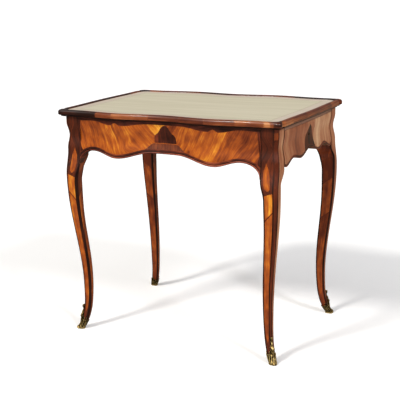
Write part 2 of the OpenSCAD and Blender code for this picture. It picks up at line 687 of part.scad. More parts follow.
module top_rail() {
    us = end_places(post_inner_y - joint);
    color(kingwood) difference() {
        union() {
            translate([0, 0, rail_low]) linear_extrude(rail_height)
                polygon(concat([[rail_back, us[0]]], [for (u = us) [end_plan(u), u]],
                    [[rail_back, us[len(us) - 1]]]));
            rail_tails(0);
        }
        translate([bolt_x - bolt_play, -bolt_width / 2 - bolt_play, rail_low - 1])
            cube([bolt_thick + 2 * bolt_play, bolt_width + 2 * bolt_play, bolt_throw + 2.5]);
    }
}

module bearer_tenons(play) {
    for (side = [-1, 1])
        translate([bearer_back + 8 - play, side > 0 ? post_inner_y - 5 : -post_inner_y - bearer_tenon - play,
                bearer_top - bearer_thick + 2 - play])
            cube([12 + 2 * play, bearer_tenon + 5 + play, bearer_thick - 4 + 2 * play]);
}

module bearer_rail() {
    color(oak) union() {
        translate([bearer_back, -post_inner_y, bearer_top - bearer_thick])
            cube([bearer_front - bearer_back, 2 * post_inner_y, bearer_thick]);
        bearer_tenons(0);
    }
}

side_outer = post_inner_y - 1.5;
runner_width = 24;
guide_play = 0.4;
guide_height = 20;
drawer_low = bearer_top + slide_play;
drawer_top = rail_low - 3;
kicker_low = drawer_top + 1;

// Runner under one drawer side, glued to the front board and butted to the bearer
module runner() {
    color(oak) translate([-post_inner_x, -apron_flat_y, bearer_top - bearer_thick])
        cube([2 * post_inner_x, apron_flat_y - side_outer + runner_width, bearer_thick]);
}

module guide() {
    color(oak) translate([-post_inner_x, -apron_flat_y, bearer_top])
        cube([2 * post_inner_x, apron_flat_y - side_outer - guide_play, guide_height]);
}

module kicker() {
    color(oak) translate([-post_inner_x, -apron_flat_y, kicker_low])
        cube([2 * post_inner_x, apron_flat_y - side_outer + runner_width, frieze_top - kicker_low]);
}

module runner_front() { runner(); }
module runner_back() { mirror([0, 1, 0]) runner(); }
module guide_front() { guide(); }
module guide_back() { mirror([0, 1, 0]) guide(); }
module kicker_front() { kicker(); }
module kicker_back() { mirror([0, 1, 0]) kicker(); }

box_front = frieze_x - drawer_front_thick;
box_end = box_front - drawer_length;

module drawer_stops() {
    color(oak) for (side = [0, 1]) mirror([0, side, 0])
        translate([box_end - slide_play - 16, -side_outer + 2, bearer_top]) cube([16, 14, 16]);
}

block = 18;
module glue_blocks() {
    color(oak) {
        for (y = [-1, 0, 1])
            translate([-apron_flat_x, y * 120 - block, frieze_top]) rotate([-90, 0, 0])
                linear_extrude(2 * block) polygon([[0, 0], [block, 0], [0, block]]);
    }
}

// Drawer

front_half = post_inner_y - drawer_gap;
front_top = rail_low - drawer_gap;
tail_depth = 11;
groove = 4;
groove_play = 0.2;
floor_low = drawer_low + 6;
side_inner_face = side_outer - drawer_side;

// Tails of one corner, as a profile along the board's length and height
module tails(depth, play) {
    pitch = (drawer_top - drawer_low) / dovetails;
    for (i = [0:dovetails - 1])
        polygon([[-joint, drawer_low + pitch * (i + 0.24) - play], [-joint, drawer_low + pitch * (i + 0.76) + play],
            [depth + play, drawer_low + pitch * (i + 0.88) + play],
            [depth + play, drawer_low + pitch * (i + 0.12) - play]]);
}

// The same, carried through the thickness of a drawer side on the front side of the drawer
module front_tails(play) {
    translate([box_front, -side_inner_face + play, 0]) rotate([90, 0, 0])
        linear_extrude(drawer_side + 2 * play) tails(tail_depth, play);
}

module back_tails(play) {
    translate([box_end + drawer_side, -side_inner_face + play, 0]) mirror([1, 0, 0]) rotate([90, 0, 0])
        linear_extrude(drawer_side + 2 * play) tails(drawer_side, play);
}

module drawer_side_board() {
    color(oak) difference() {
        union() {
            translate([box_end + drawer_side, -side_outer, drawer_low])
                cube([box_front - box_end - drawer_side, drawer_side, drawer_top - drawer_low]);
            front_tails(0);
            back_tails(0);
        }
        translate([box_end - 1, -side_inner_face - groove, floor_low - groove_play])
            cube([drawer_length + tail_depth + 2, groove + 1, drawer_floor + 2 * groove_play]);
    }
}

module drawer_side_front() { drawer_side_board(); }
module drawer_side_back() { mirror([0, 1, 0]) drawer_side_board(); }

module drawer_back() {
    color(oak) difference() {
        translate([box_end, -side_outer, floor_low + drawer_floor + groove_play])
            cube([drawer_side, 2 * side_outer, drawer_top - floor_low - drawer_floor - groove_play]);
        for (side = [0, 1]) mirror([0, side, 0]) back_tails(glue);
    }
}

module drawer_bottom() {
    color(oak) translate([box_end, -side_inner_face - groove + groove_play, floor_low])
        cube([drawer_length + groove - groove_play, 2 * (side_inner_face + groove - groove_play), drawer_floor]);
}

function drawer_low_edge(u) = tongue(u, front_half);

module drawer_front() {
    color(walnut) difference() {
        rotate([0, 0, 90])
            sheet([for (u = end_places(front_half)) [u, drawer_low_edge(u), front_top]],
                true, core_back, 0, box_front);
        for (side = [0, 1]) mirror([0, side, 0]) front_tails(glue);
        translate([box_front - 1, -side_inner_face - groove, floor_low - groove_play])
            cube([groove + 1, 2 * (side_inner_face + groove), drawer_floor + 2 * groove_play]);
        lock_pocket();
        keyhole_bore(liner_radius + joint);
    }
}

module drawer_leaves() {
    color(tulipwood) rotate([0, 0, 90]) end_leaves(front_half, front_top, function(u) drawer_low_edge(u));
}

module drawer_banding() { rotate([0, 0, 90]) end_band(front_half, function(u) drawer_low_edge(u)); }

module drawer_cartouche() {
    difference() {
        rotate([0, 0, 90]) end_cartouche();
        keyhole_bore(liner_radius + joint);
    }
}

// Lock

key_height = frieze_top - 53;
liner_radius = 4.2;
lock_width = 46;
lock_thick = 9;
lock_wall = 1.5;
lock_low = frieze_top - 66;
bolt_width = 20;
bolt_thick = 4;
bolt_play = 0.3;
bolt_throw = 6;
bolt_x = box_front + 2.4;
lock_top = front_top - 0.4;
screw_radius = 1.5;

module lock_pocket() {
    translate([box_front - 1, -lock_width / 2 - glue, lock_low - glue])
        cube([lock_thick + 1 + glue, lock_width + 2 * glue, front_top - lock_low + glue + 1]);
    for (side = [-1, 1]) lock_screw(side, screw_radius + 0.1, 0.1);
}

module keyhole_bore(radius) {
    translate([box_front - 5, 0, key_height]) rotate([0, 90, 0]) cylinder(h = 60, r = radius, $fn = 32);
}

module lock_screw(side, radius, play) {
    translate([box_front - 0.8, side * (lock_width / 2 - 5), lock_low + 8]) rotate([0, 90, 0]) {
        cylinder(h = lock_thick + 5 + play, r = radius, $fn = 24);
        cylinder(h = 1.2 + play, r = 2 * radius, $fn = 24);
    }
}

module lock_case() {
    color("#9a8452") difference() {
        translate([box_front, -lock_width / 2, lock_low])
            cube([lock_thick, lock_width, lock_top - lock_low]);
        translate([bolt_x - bolt_play, -bolt_width / 2 - bolt_play, lock_low + lock_wall])
            cube([bolt_thick + 2 * bolt_play, bolt_width + 2 * bolt_play, lock_top - lock_low]);
        keyhole_bore(2.2);
        for (side = [-1, 1]) lock_screw(side, screw_radius + 0.1, 0.1);
    }
}

module lock_bolt() {
    color("#7d7f82") translate([bolt_x, -bolt_width / 2, key_height + 6])
        cube([bolt_thick, bolt_width, lock_top - key_height - 6 - 0.2]);
}

module lock_screws() {
    color(bronze) for (side = [-1, 1]) lock_screw(side, screw_radius, 0);
}

// Liner of the keyhole, let in flush with the veneer
module keyhole_liner() {
    face = end_plan(0) + lookup(key_height, end_relief);
    color(bronze) translate([face - 7.6, 0, key_height]) rotate([0, 90, 0]) difference() {
        cylinder(h = 8, r = liner_radius, $fn = 32);
        translate([0, 0, -1]) cylinder(h = 10, r = 1.9, $fn = 24);
        translate([0, -0.8, -1]) cube([3.4, 1.6, 10]);
    }
}

top_board();
leather_top();
rim_front();
rim_right();
rim_back();
rim_left();
leg_front_left();
leg_front_right();
leg_back_left();
leg_back_right();
reserves_front_left();
reserves_front_right();
reserves_back_left();
reserves_back_right();
shoe_front_left();
shoe_front_right();
shoe_back_left();
shoe_back_right();
shoe_pins();
apron_front();
apron_back();
apron_left();
front_leaves();
front_banding();
front_cartouche();
back_leaves();
back_banding();
back_cartouche();
left_leaves();
left_banding();
left_cartouche();
top_rail();
bearer_rail();
runner_front();
runner_back();
guide_front();
guide_back();
kicker_front();
kicker_back();
drawer_stops();
glue_blocks();
drawer_front();
drawer_leaves();
drawer_banding();
drawer_cartouche();
drawer_side_front();
drawer_side_back();
drawer_back();
drawer_bottom();
lock_case();
lock_bolt();
lock_screws();
keyhole_liner();
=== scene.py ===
# Writing table with a leather top, dressed for the studio. Lengths here are in millimetres
# until a mesh is made, and then in metres.
import math

import bpy
import numpy as np
from mathutils import Matrix, Vector


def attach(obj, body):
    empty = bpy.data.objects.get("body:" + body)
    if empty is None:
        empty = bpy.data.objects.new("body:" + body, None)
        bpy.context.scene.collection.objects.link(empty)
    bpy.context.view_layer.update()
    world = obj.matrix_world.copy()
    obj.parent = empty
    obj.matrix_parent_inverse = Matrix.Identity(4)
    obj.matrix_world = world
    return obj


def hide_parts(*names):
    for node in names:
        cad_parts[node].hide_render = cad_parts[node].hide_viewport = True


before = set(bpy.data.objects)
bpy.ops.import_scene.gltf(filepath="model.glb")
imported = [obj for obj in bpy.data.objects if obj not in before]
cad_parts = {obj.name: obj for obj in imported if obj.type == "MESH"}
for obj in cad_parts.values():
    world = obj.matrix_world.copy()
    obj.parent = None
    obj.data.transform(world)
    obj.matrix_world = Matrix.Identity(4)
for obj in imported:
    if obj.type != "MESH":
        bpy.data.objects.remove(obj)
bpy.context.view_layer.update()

# What every piece shares: the table's outline and heights. The outer arris of a leg stands out
# past the frieze at the knee, lies inside it at the ankle and kicks out again at the toe.
desk = {
    "friezeX": 370.0, "friezeY": 240.0, "height": 740.0, "rimHeight": 21.0, "rimWidth": 18.0,
    "overhang": 16.0, "endBow": 4.0, "frontSwell": 14.0, "leatherSink": 4.0, "leatherThick": 1.5,
    "postWidth": 54.0, "postDepth": 50.0, "bracketDrop": 151.0, "veneer": 1.2, "foot": 4.8,
    "ankle": 140.0, "knee": 525.0, "toeOut": 8.0, "frontKnee": 13.5, "frontAnkle": 11.5,
    "endKnee": 2.0, "endAnkle": 29.0, "hollow": 5.5, "hollowHeights": (613.0, 658.0, 697.0),
}
friezeTop = desk["height"] - desk["rimHeight"]
friezeLow = friezeTop - desk["bracketDrop"]
postX = desk["friezeX"] - desk["postWidth"]
postY = desk["friezeY"] - desk["postDepth"]


def ease(t):  # (1 - cos(pi t)) / 2
    return (1 - np.cos(np.pi * t)) / 2


def through(stations, at):  # eased from each station (place, value) to the next
    x, y = np.array(stations, float).T
    at = np.asarray(at, float)
    i = np.clip(np.searchsorted(x, at, side="right") - 1, 0, len(x) - 2)
    t = np.clip((at - x[i]) / (x[i + 1] - x[i]), 0, 1)
    return y[i] + (y[i + 1] - y[i]) * ease(t)


def along(stations, at):  # straight from each station to the next
    x, y = np.array(stations, float).T
    return np.interp(at, x, y)


def stepped(stations, at):  # value of the last station passed
    x, y = np.array(stations, float).T
    return y[np.clip(np.searchsorted(x, at, side="right") - 1, 0, len(x) - 1)]


def mound(distance, reach):  # exp(-(distance / reach) squared)
    return np.exp(-(distance / reach) ** 2)


def streaks(distance, marks):  # sum of strength exp(-((distance - place) / reach) squared)
    return sum(strength * mound(distance - place, reach) for place, reach, strength in marks)


def lengths(points):  # how far each point lies along the path through them
    return np.r_[0, np.cumsum(np.linalg.norm(np.diff(points, axis=0), axis=1))]


def longPlan(u):  # swell (1 - cos(2 pi u / post)) / 2 on each half
    swell = desk["frontSwell"] * (1 - np.cos(2 * np.pi * np.asarray(u) / postX)) / 2
    return desk["friezeY"] + np.where(np.abs(u) < postX, swell, 0)


def endPlan(u):  # bow (1 + cos(pi u / post)) / 2
    bow = desk["endBow"] * (1 + np.cos(np.pi * np.asarray(u) / postY)) / 2
    return desk["friezeX"] + np.where(np.abs(u) < postY, bow, 0)


def toe(z, high):  # (1 - (z - foot) / (high - foot)) squared, from the floor up
    return np.clip(1 - (np.asarray(z, float) - desk["foot"]) / (high - desk["foot"]), 0, 1) ** 2


# Where the outer arris lies beyond the frieze: an S from the ankle to the knee and a hollow above
def arris(z, knee, ankle):
    low, middle, high = desk["hollowHeights"]
    stations = [(desk["ankle"], -ankle), (desk["knee"], knee), (low, 0), (middle, -desk["hollow"]),
                (high, 0), (friezeTop, 0)]
    return desk["toeOut"] * toe(z, desk["ankle"]) + through(stations, z)


def frontArris(z):
    return arris(z, desk["frontKnee"], desk["frontAnkle"])


def endArris(z):
    return arris(z, desk["endKnee"], desk["endAnkle"])


def turned(points, degrees):  # turned about the upright axis
    a = math.radians(degrees)
    turn = np.array([[math.cos(a), math.sin(a), 0], [-math.sin(a), math.cos(a), 0], [0, 0, 1]])
    return points @ turn


# Meshes

def placed(name, data):  # an object at the origin that holds this mesh, lamp or camera
    thing = bpy.data.objects.new(name, data)
    bpy.context.collection.objects.link(thing)
    return thing


# A solid is (points, quads, uv), and a part is (body, slot, the CAD node that the piece replaces).
# The slot is not used. The last edgeCount faces, where given, take edgeMaterial.
def makePiece(name, solid, shade, material, part, sharp=35, edgeMaterial=None, edgeCount=0):
    points, quads, uv = solid
    mesh = bpy.data.meshes.new(name)
    mesh.vertices.add(len(points))
    mesh.vertices.foreach_set("co", (points / 1000).astype(np.float32).ravel())
    mesh.loops.add(quads.size)
    mesh.loops.foreach_set("vertex_index", quads.astype(np.int32).ravel())
    mesh.polygons.add(len(quads))
    mesh.polygons.foreach_set("loop_start", np.arange(len(quads), dtype=np.int32) * 4)
    layer = mesh.uv_layers.new(name="Grain")
    layer.data.foreach_set("uv", uv[quads.ravel()].astype(np.float32).ravel())
    tone = mesh.attributes.new("Shade", "FLOAT", "POINT")
    tone.data.foreach_set("value", np.ascontiguousarray(np.broadcast_to(shade, len(points)), np.float32))
    onEdge = np.arange(len(quads)) >= len(quads) - edgeCount
    mesh.polygons.foreach_set("material_index", onEdge.astype(np.int32))
    mesh.update(calc_edges=True)
    mesh.validate()
    mesh.shade_smooth()
    mesh.set_sharp_from_angle(angle=math.radians(sharp))
    mesh.materials.append(material)
    if edgeMaterial:
        mesh.materials.append(edgeMaterial)
    piece = placed(name, mesh)
    body, slotName, *nodes = part
    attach(piece, body)
    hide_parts(*nodes)


# Quads of an n by m grid of points; closed joins the last column to the first
def gridQuads(n, m, closed=False):
    i = np.arange(n - 1)[:, None]
    j = np.arange(m if closed else m - 1)[None, :]
    k = (j + 1) % m
    return np.stack([i * m + j, (i + 1) * m + j, (i + 1) * m + k, i * m + k], -1).reshape(-1, 4)


# Closed slab between two n by m grids, front(i, j) and back(i, j)
def slab(front, back, uv):
    n, m = front.shape[:2]
    points = np.concatenate([front.reshape(-1, 3), back.reshape(-1, 3)])
    face = gridQuads(n, m)
    rim = np.concatenate([np.arange(m), np.arange(1, n) * m + m - 1,
                          (n - 1) * m + np.arange(m - 2, -1, -1), np.arange(n - 2, 0, -1) * m])
    nextRim = np.roll(rim, -1)
    edge = np.stack([rim, nextRim, nextRim + n * m, rim + n * m], -1)
    quads = np.concatenate([face, face[:, ::-1] + n * m, edge])
    return points, quads, np.concatenate([uv.reshape(-1, 2)] * 2)


# Solid of rings: point(i, j) on ring i, closed round j, with its two ends filled from their middles
def ringSolid(rings, uv):
    n, m = rings.shape[:2]
    points = np.concatenate([rings.reshape(-1, 3), [rings[0].mean(0), rings[-1].mean(0)]])
    j, last = np.arange(0, m, 2), (n - 1) * m
    foot = np.stack([0 * j + n * m, j, (j + 1) % m, (j + 2) % m], -1)
    head = np.stack([0 * j + n * m + 1, last + (j + 2) % m, last + (j + 1) % m, last + j], -1)
    quads = np.concatenate([gridQuads(n, m, True), foot, head])
    return points, quads, np.concatenate([uv.reshape(-1, 2), [uv[0].mean(0), uv[-1].mean(0)]])


# Materials

def linear(hexColor):
    c = np.array([int(hexColor[i:i + 2], 16) for i in (1, 3, 5)]) / 255
    c = np.where(c < 0.04045, c / 12.92, ((c + 0.055) / 1.055) ** 2.4)
    return (*c.tolist(), 1.0)


def setInputs(owner, node, inputs):  # another node's output is linked, anything else is a constant
    for key, value in inputs.items():
        if isinstance(value, bpy.types.NodeSocket):
            owner.node_tree.links.new(value, node.inputs[key])
        else:
            node.inputs[key].default_value = value


# Adds a node and gives the output that is asked for; stops are (place, colour) along a ramp
def addNode(owner, kind, inputs=None, output=0, stops=(), **settings):
    node = owner.node_tree.nodes.new("ShaderNode" + kind)
    for key, value in settings.items():
        setattr(node, key, value)
    for k, (place, color) in enumerate(stops):
        spots = node.color_ramp.elements
        spot = spots[k] if k < 2 else spots.new(place)
        spot.position = place
        spot.color = linear(color)
    setInputs(owner, node, inputs or {})
    return node.outputs[output]


def newMaterial(name):
    material = bpy.data.materials.new(name)
    material.use_nodes = True
    return material, material.node_tree.nodes["Principled BSDF"]


# French-polished sawn veneer: the grain runs along the piece's U. Fine streaks and broad bands
# are noise drawn out along U, a slow cloud gives the mottle, and the piece's own Shade moves the
# tone: for a lighter or a darker leaf, and on some pieces for painted shade, a painted highlight
# or a painted sheen. Open pores come last. The polish gives the gloss; pores and old ripples in
# the glue line break it up a little.
frenchPolish = {"pores": 0.4, "ripple": 0.3, "rough": 0.42, "polish": 0.14, "polishRough": 0.16, "ior": 1.3}


def polishedVeneer(name, look):
    look = {**frenchPolish, **look}
    material, shader = newMaterial(name)
    place = addNode(material, "UVMap", uv_map="Grain")
    tone = addNode(material, "Attribute", output="Fac", attribute_name="Shade")
    warp = addNode(material, "TexNoise", {"Vector": place, "Scale": look["warpScale"], "Detail": 2.0},
                   "Color")
    bent = addNode(material, "VectorMath", {0: warp, 1: (0.5, 0.5, 0.5)}, operation="SUBTRACT")
    bent = addNode(material, "VectorMath", {0: bent, "Scale": look["warp"]}, operation="SCALE")
    bent = addNode(material, "VectorMath", {0: place, 1: bent}, operation="ADD")
    layers = (("fine", 4.0, 0.6), ("broad", 1.5, 0.4), ("cloud", 2.0, 0.5))
    middle = 0.5 - sum(look[layer][2] for layer, detail, rough in layers) / 2
    tone = addNode(material, "Math", {0: tone, 1: middle}, operation="ADD")
    for layer, detail, rough in layers:
        long, wide, gain = look[layer]
        figure = addNode(material, "Mapping", {"Vector": bent, "Scale": (1000 / long, 1000 / wide, 1)})
        figure = addNode(material, "TexNoise", {"Vector": figure, "Scale": 1.0, "Detail": detail,
                                                "Roughness": rough})
        tone = addNode(material, "Math", {0: figure, 1: gain, 2: tone}, operation="MULTIPLY_ADD")
    color = addNode(material, "ValToRGB", {"Fac": tone}, stops=look["tones"])
    # One pore to about 14 by 2.2 mm, coarser than life so that they show
    pores = addNode(material, "Mapping", {"Vector": bent, "Scale": (70, 1000 / 2.2, 1)})
    pores = addNode(material, "TexNoise", {"Vector": pores, "Scale": 1.0, "Detail": 2.0})
    pores = addNode(material, "MapRange", {"Value": pores, "From Min": 0.56, "From Max": 0.7,
                                           "To Min": 0.0, "To Max": look["pores"]})
    color = addNode(material, "Mix", {0: pores, 6: color, 7: linear(look["poreColor"])}, 2, data_type="RGBA")
    ripple = addNode(material, "TexNoise", {"Vector": place, "Scale": 28.0, "Detail": 2.0})
    bump = addNode(material, "Bump", {"Height": ripple, "Distance": 0.0006, "Strength": look["ripple"]})
    bump = addNode(material, "Bump", {"Height": pores, "Distance": 0.0001, "Strength": 0.3, "Normal": bump},
                   invert=True)
    setInputs(material, shader, {"Base Color": color, "Normal": bump, "Coat Normal": bump,
                                 "Roughness": look["rough"], "Coat Weight": look["polish"],
                                 "Coat Roughness": look["polishRough"], "IOR": look["ior"]})
    return material


# Solid timber, planed: straight grain with short dark pores, so many to the metre along each
# axis; dull where it was never finished
def planedTimber(name, tones, grain, rough=0.68, polish=0.0):
    material, shader = newMaterial(name)
    place = addNode(material, "TexCoord", output="Object")
    streak = addNode(material, "Mapping", {"Vector": place, "Scale": grain})
    streak = addNode(material, "TexNoise", {"Vector": streak, "Scale": 1.0, "Detail": 6.0, "Roughness": 0.7,
                                            "Distortion": 0.3})
    color = addNode(material, "ValToRGB", {"Fac": streak}, stops=tones)
    bump = addNode(material, "Bump", {"Height": streak, "Distance": 0.0002, "Strength": 0.5})
    setInputs(material, shader, {"Base Color": color, "Normal": bump, "Roughness": rough,
                                 "Coat Weight": polish, "IOR": 1.4})
    return material


# Cast and chased bronze, once mercury-gilt: bright where hands and mops rub it, dark in the
# hollows, which the Shade of the shoes marks
def gildedBronze(name, look):
    material, shader = newMaterial(name)
    place = addNode(material, "TexCoord", output="Object")
    relief = addNode(material, "Attribute", output="Fac", attribute_name="Shade")
    blotch = addNode(material, "TexNoise", {"Vector": place, "Scale": look["blotchScale"], "Detail": 5.0,
                                            "Roughness": 0.6})
    wear = addNode(material, "Math", {0: blotch, 1: look["blotch"], 2: relief}, operation="MULTIPLY_ADD")
    wear = addNode(material, "Math", {0: wear, 1: look["lift"]}, operation="ADD")
    color = addNode(material, "ValToRGB", {"Fac": wear}, stops=look["tones"])
    rough = addNode(material, "MapRange", {"Value": wear, "To Min": look["dull"], "To Max": look["rubbed"]})
    bump = addNode(material, "Bump", {"Height": blotch, "Distance": 0.0002, "Strength": 0.4})
    setInputs(material, shader, {"Base Color": color, "Roughness": rough, "Normal": bump, "Metallic": 0.9})
    return material


# Filed metal with a dull sheen: file marks drawn out along the table's depth
def filedMetal(name, dark, light, rough):
    material, shader = newMaterial(name)
    place = addNode(material, "TexCoord", output="Object")
    lines = addNode(material, "Mapping", {"Vector": place, "Scale": (300, 60, 900)})
    lines = addNode(material, "TexNoise", {"Vector": lines, "Scale": 1.0, "Detail": 4.0})
    color = addNode(material, "ValToRGB", {"Fac": lines}, stops=[(0.3, dark), (0.7, light)])
    setInputs(material, shader, {"Base Color": color, "Metallic": 1.0, "Roughness": rough})
    return material


# Sheepskin skiver, dyed sage and waxed: fine hair-cell grain and faint drawn streaks along the
# table, with a paler border between tooled fillets. The mesh's V is the distance in from the
# edge of the panel, in metres, and each fillet is (distance in, width, strength).
def tooledSkiver(name, look):
    material, shader = newMaterial(name)
    place = addNode(material, "TexCoord", output="Object")
    inset = addNode(material, "UVMap", uv_map="Grain")
    inset = addNode(material, "SeparateXYZ", {0: inset}, "Y")
    cells = addNode(material, "TexVoronoi", {"Vector": place, "Scale": 900.0})
    fade = addNode(material, "Mapping", {"Vector": place, "Scale": (3, 38, 1)})
    fade = addNode(material, "TexNoise", {"Vector": fade, "Scale": 1.0, "Detail": 4.0})
    field = addNode(material, "ValToRGB", {"Fac": fade}, stops=look["field"])
    border = addNode(material, "ValToRGB", {"Fac": fade}, stops=look["border"])
    inBorder = addNode(material, "MapRange", {"Value": inset, "From Min": look["borderWidth"] - 0.001,
                                              "From Max": look["borderWidth"], "To Min": 1.0, "To Max": 0.0})
    color = addNode(material, "Mix", {0: inBorder, 6: field, 7: border}, 2, data_type="RGBA")
    pressed = 0.0
    for at, width, strength in look["fillets"]:
        off = addNode(material, "Math", {0: inset, 1: at}, operation="SUBTRACT")
        off = addNode(material, "Math", {0: off}, operation="ABSOLUTE")
        line = addNode(material, "MapRange", {"Value": off, "From Min": width * 0.4, "From Max": width,
                                              "To Min": strength, "To Max": 0.0})
        pressed = addNode(material, "Math", {0: pressed, 1: line}, operation="MAXIMUM")
    color = addNode(material, "Mix", {0: pressed, 6: color, 7: linear(look["filletColor"])}, 2,
                    data_type="RGBA")
    bump = addNode(material, "Bump", {"Height": cells, "Distance": 0.0001, "Strength": 0.25})
    bump = addNode(material, "Bump", {"Height": pressed, "Distance": 0.0004, "Strength": 0.6, "Normal": bump},
                   invert=True)
    setInputs(material, shader, {"Base Color": color, "Normal": bump, "Roughness": 0.42, "IOR": 1.45})
    return material


# Kingwood: near-black violet-brown with reddish lines, on the posts and the legs. Each layer is
# (length, width, strength) of its figure in millimetres.
kingwood = polishedVeneer("kingwoodFrenchPolished", {
    "warpScale": 9.0, "warp": 0.008, "fine": (150, 4, 0.6), "broad": (400, 14, 0.32), "cloud": (90, 60, 0.4),
    "tones": [(0.1, "#140704"), (0.35, "#2f1206"), (0.5, "#481b08"), (0.65, "#68290c"), (0.9, "#96481a")],
    "poreColor": "#140806"})
# The same wood cut across for the bandings and the bell, darker and redder
kingwoodDark = polishedVeneer("kingwoodCrossBanded", {
    "warpScale": 12.0, "warp": 0.006, "fine": (60, 5, 0.6), "broad": (150, 22, 0.5), "cloud": (40, 30, 0.4),
    "tones": [(0.1, "#120604"), (0.35, "#2b1008"), (0.5, "#42190b"), (0.65, "#6a2a14"), (0.9, "#a05030")],
    "poreColor": "#120604"})
# Rim: short lengths of cross-cut walnut, redder and lighter, worn glossy by sleeves
rimWood = polishedVeneer("walnutMouldingWorn", {
    "warpScale": 7.0, "warp": 0.006, "fine": (110, 4, 0.7), "broad": (260, 9, 0.5), "cloud": (70, 40, 0.4),
    "tones": [(0.1, "#220c05"), (0.35, "#4e1f0d"), (0.5, "#713415"), (0.65, "#935024"), (0.9, "#bd824e")],
    "pores": 0.35, "poreColor": "#2a1209", "ripple": 0.35, "rough": 0.4, "polish": 0.32, "polishRough": 0.12,
    "ior": 1.38})
# Tulipwood leaves of the long sides: orange with rust and straw streaks
tulipwood = polishedVeneer("tulipwoodFrenchPolished", {
    "warpScale": 8.0, "warp": 0.009, "fine": (90, 4.5, 0.8), "broad": (460, 15, 0.52),
    "cloud": (34, 20, 0.75),
    "tones": [(0.08, "#541e05"), (0.31, "#78330a"), (0.48, "#95450a"), (0.6, "#a6520d"), (0.76, "#bf7217"),
              (0.95, "#d8942a")],
    "pores": 0.3, "poreColor": "#6d2c0c", "polish": 0.12})
# The same wood on the ends, bleached pinkish by the window that they faced
tulipwoodFaded = polishedVeneer("tulipwoodBleached", {
    "warpScale": 9.0, "warp": 0.014, "fine": (160, 6, 0.6), "broad": (420, 20, 0.7), "cloud": (70, 40, 0.5),
    "tones": [(0.08, "#48200f"), (0.3, "#75381e"), (0.5, "#904f2e"), (0.66, "#a66e49"), (0.9, "#c69c74")],
    "pores": 0.3, "poreColor": "#5a2c18", "polish": 0.25, "polishRough": 0.18, "ior": 1.4})
# Foot of the cartouche: plain walnut, redder than the bell
walnutVeneer = polishedVeneer("walnutFrenchPolished", {
    "warpScale": 10.0, "warp": 0.01, "fine": (70, 6, 0.6), "broad": (160, 20, 0.5), "cloud": (40, 30, 0.5),
    "tones": [(0.1, "#2c1006"), (0.35, "#50200c"), (0.5, "#662e12"), (0.7, "#82401c"), (0.9, "#98552c")],
    "poreColor": "#2a1208", "polish": 0.12, "ior": 1.36})
oakTones = [(0.3, "#6d4c2b"), (0.5, "#946d42"), (0.7, "#b08a5a")]
oakAlongX = planedTimber("oakGrainAlongX", oakTones, (6, 160, 160))
oakAlongY = planedTimber("oakGrainAlongY", oakTones, (160, 6, 160))
# Solid polished kingwood for the rail over the drawer, its tones lighter than the wood as painted light
# against the rim's shadow that falls on it
railWood = planedTimber("kingwoodSolidPolished", [(0.3, "#4a2a1c"), (0.5, "#7c5140"), (0.7, "#9a6f58")],
                        (160, 8, 200), rough=0.4, polish=0.25)
walnutAlongY = planedTimber("walnutPlaned", [(0.3, "#3c2212"), (0.5, "#5d3a20"), (0.7, "#7a5130")],
                            (160, 7, 160), rough=0.6)
bronze = gildedBronze("gildedBronze", {
    "blotchScale": 160.0, "blotch": 0.55, "lift": 0.09, "dull": 0.6, "rubbed": 0.4,
    "tones": [(0.12, "#171006"), (0.32, "#4c3a1a"), (0.5, "#8c7038"), (0.75, "#cdb274")]})
agedBrass = filedMetal("agedBrass", "#2a200f", "#55431f", 0.5)
brass = filedMetal("filedBrass", "#8a6b2e", "#c29a4c", 0.4)
steel = filedMetal("filedSteel", "#5d6063", "#8f9295", 0.42)
skiver = tooledSkiver("sageSkiver", {
    "field": [(0.3, "#c8c0a5"), (0.7, "#d5cdb5")], "border": [(0.3, "#c8b9a6"), (0.7, "#d4c6b5")],
    "borderWidth": 0.034, "filletColor": "#8d7a4c",
    "fillets": [(0.004, 0.0008, 0.5), (0.0345, 0.0012, 0.6), (0.0380, 0.0006, 0.4)]})
print("materials made")


# Rim and leather

# Each side is made of short lengths (where it starts, its tone). The last length of a long side,
# over its ear, and the first of an end, over the near ear and the notch, are darkened as painted
# shade, and the end's next length is lightened in part as a painted highlight. The profile's points
# are (distance in from the face, height over the crest), and its thumb and cavetto are quarters
# (deep, high).
rim = {
    "earRadius": 12.0, "earFlat": 2.0, "notchLength": 26.0, "notchDepth": 6.0, "innerRadius": 24.0,
    "stations": 110, "thumb": (6.5, 7.5), "cavetto": (5.2, 4.6), "cavettoFoot": -17.8,
    "under": [(18, -21), (5.5, -21), (5.4, -18.4)], "face": [(0.2, -12.6), (0, -10)],
    "bead": [(9.5, 0.0), (12.5, -0.15), (14.5, -0.6), (16.2, -1.6), (17.3, -2.9), (18, -4)],
    "longLengthTonesAndShade": [(-400, -0.42), (-235, -0.02), (-172, 0.06), (-46, -0.08), (60, -0.12), (148, 0.0),
                    (245, 0.04), (336, 0.2), (354, 0.04), (366, -0.24)],
    "endLengthTonesShadeAndHighlight": [(-260, -0.3), (-231, 0.09), (-160, -0.02), (-60, -0.04), (40, -0.08), (150, 0.02),
                   (215, -0.1)],
    "shadedSides": {"Left": -0.22, "Back": -0.12},  # painted shade: these two sides are darkened
    # The foot of the moulding, below underAt, is darkened: painted shade under the thumb
    "underAt": -16.5, "paintedUnderShade": -0.5, "grainJump": (7, 3),
}
# Whether a side is an end, and its turn about the upright axis
sides = {"Front": (False, 0), "Right": (True, 90), "Back": (False, 180), "Left": (True, -90)}


def arc(cx, cy, r, start, end, steps):  # (cx + r cos a, cy + r sin a)
    a = np.radians(np.linspace(start, end, steps))
    return np.stack([cx + r * np.cos(a), cy + r * np.sin(a)], -1)


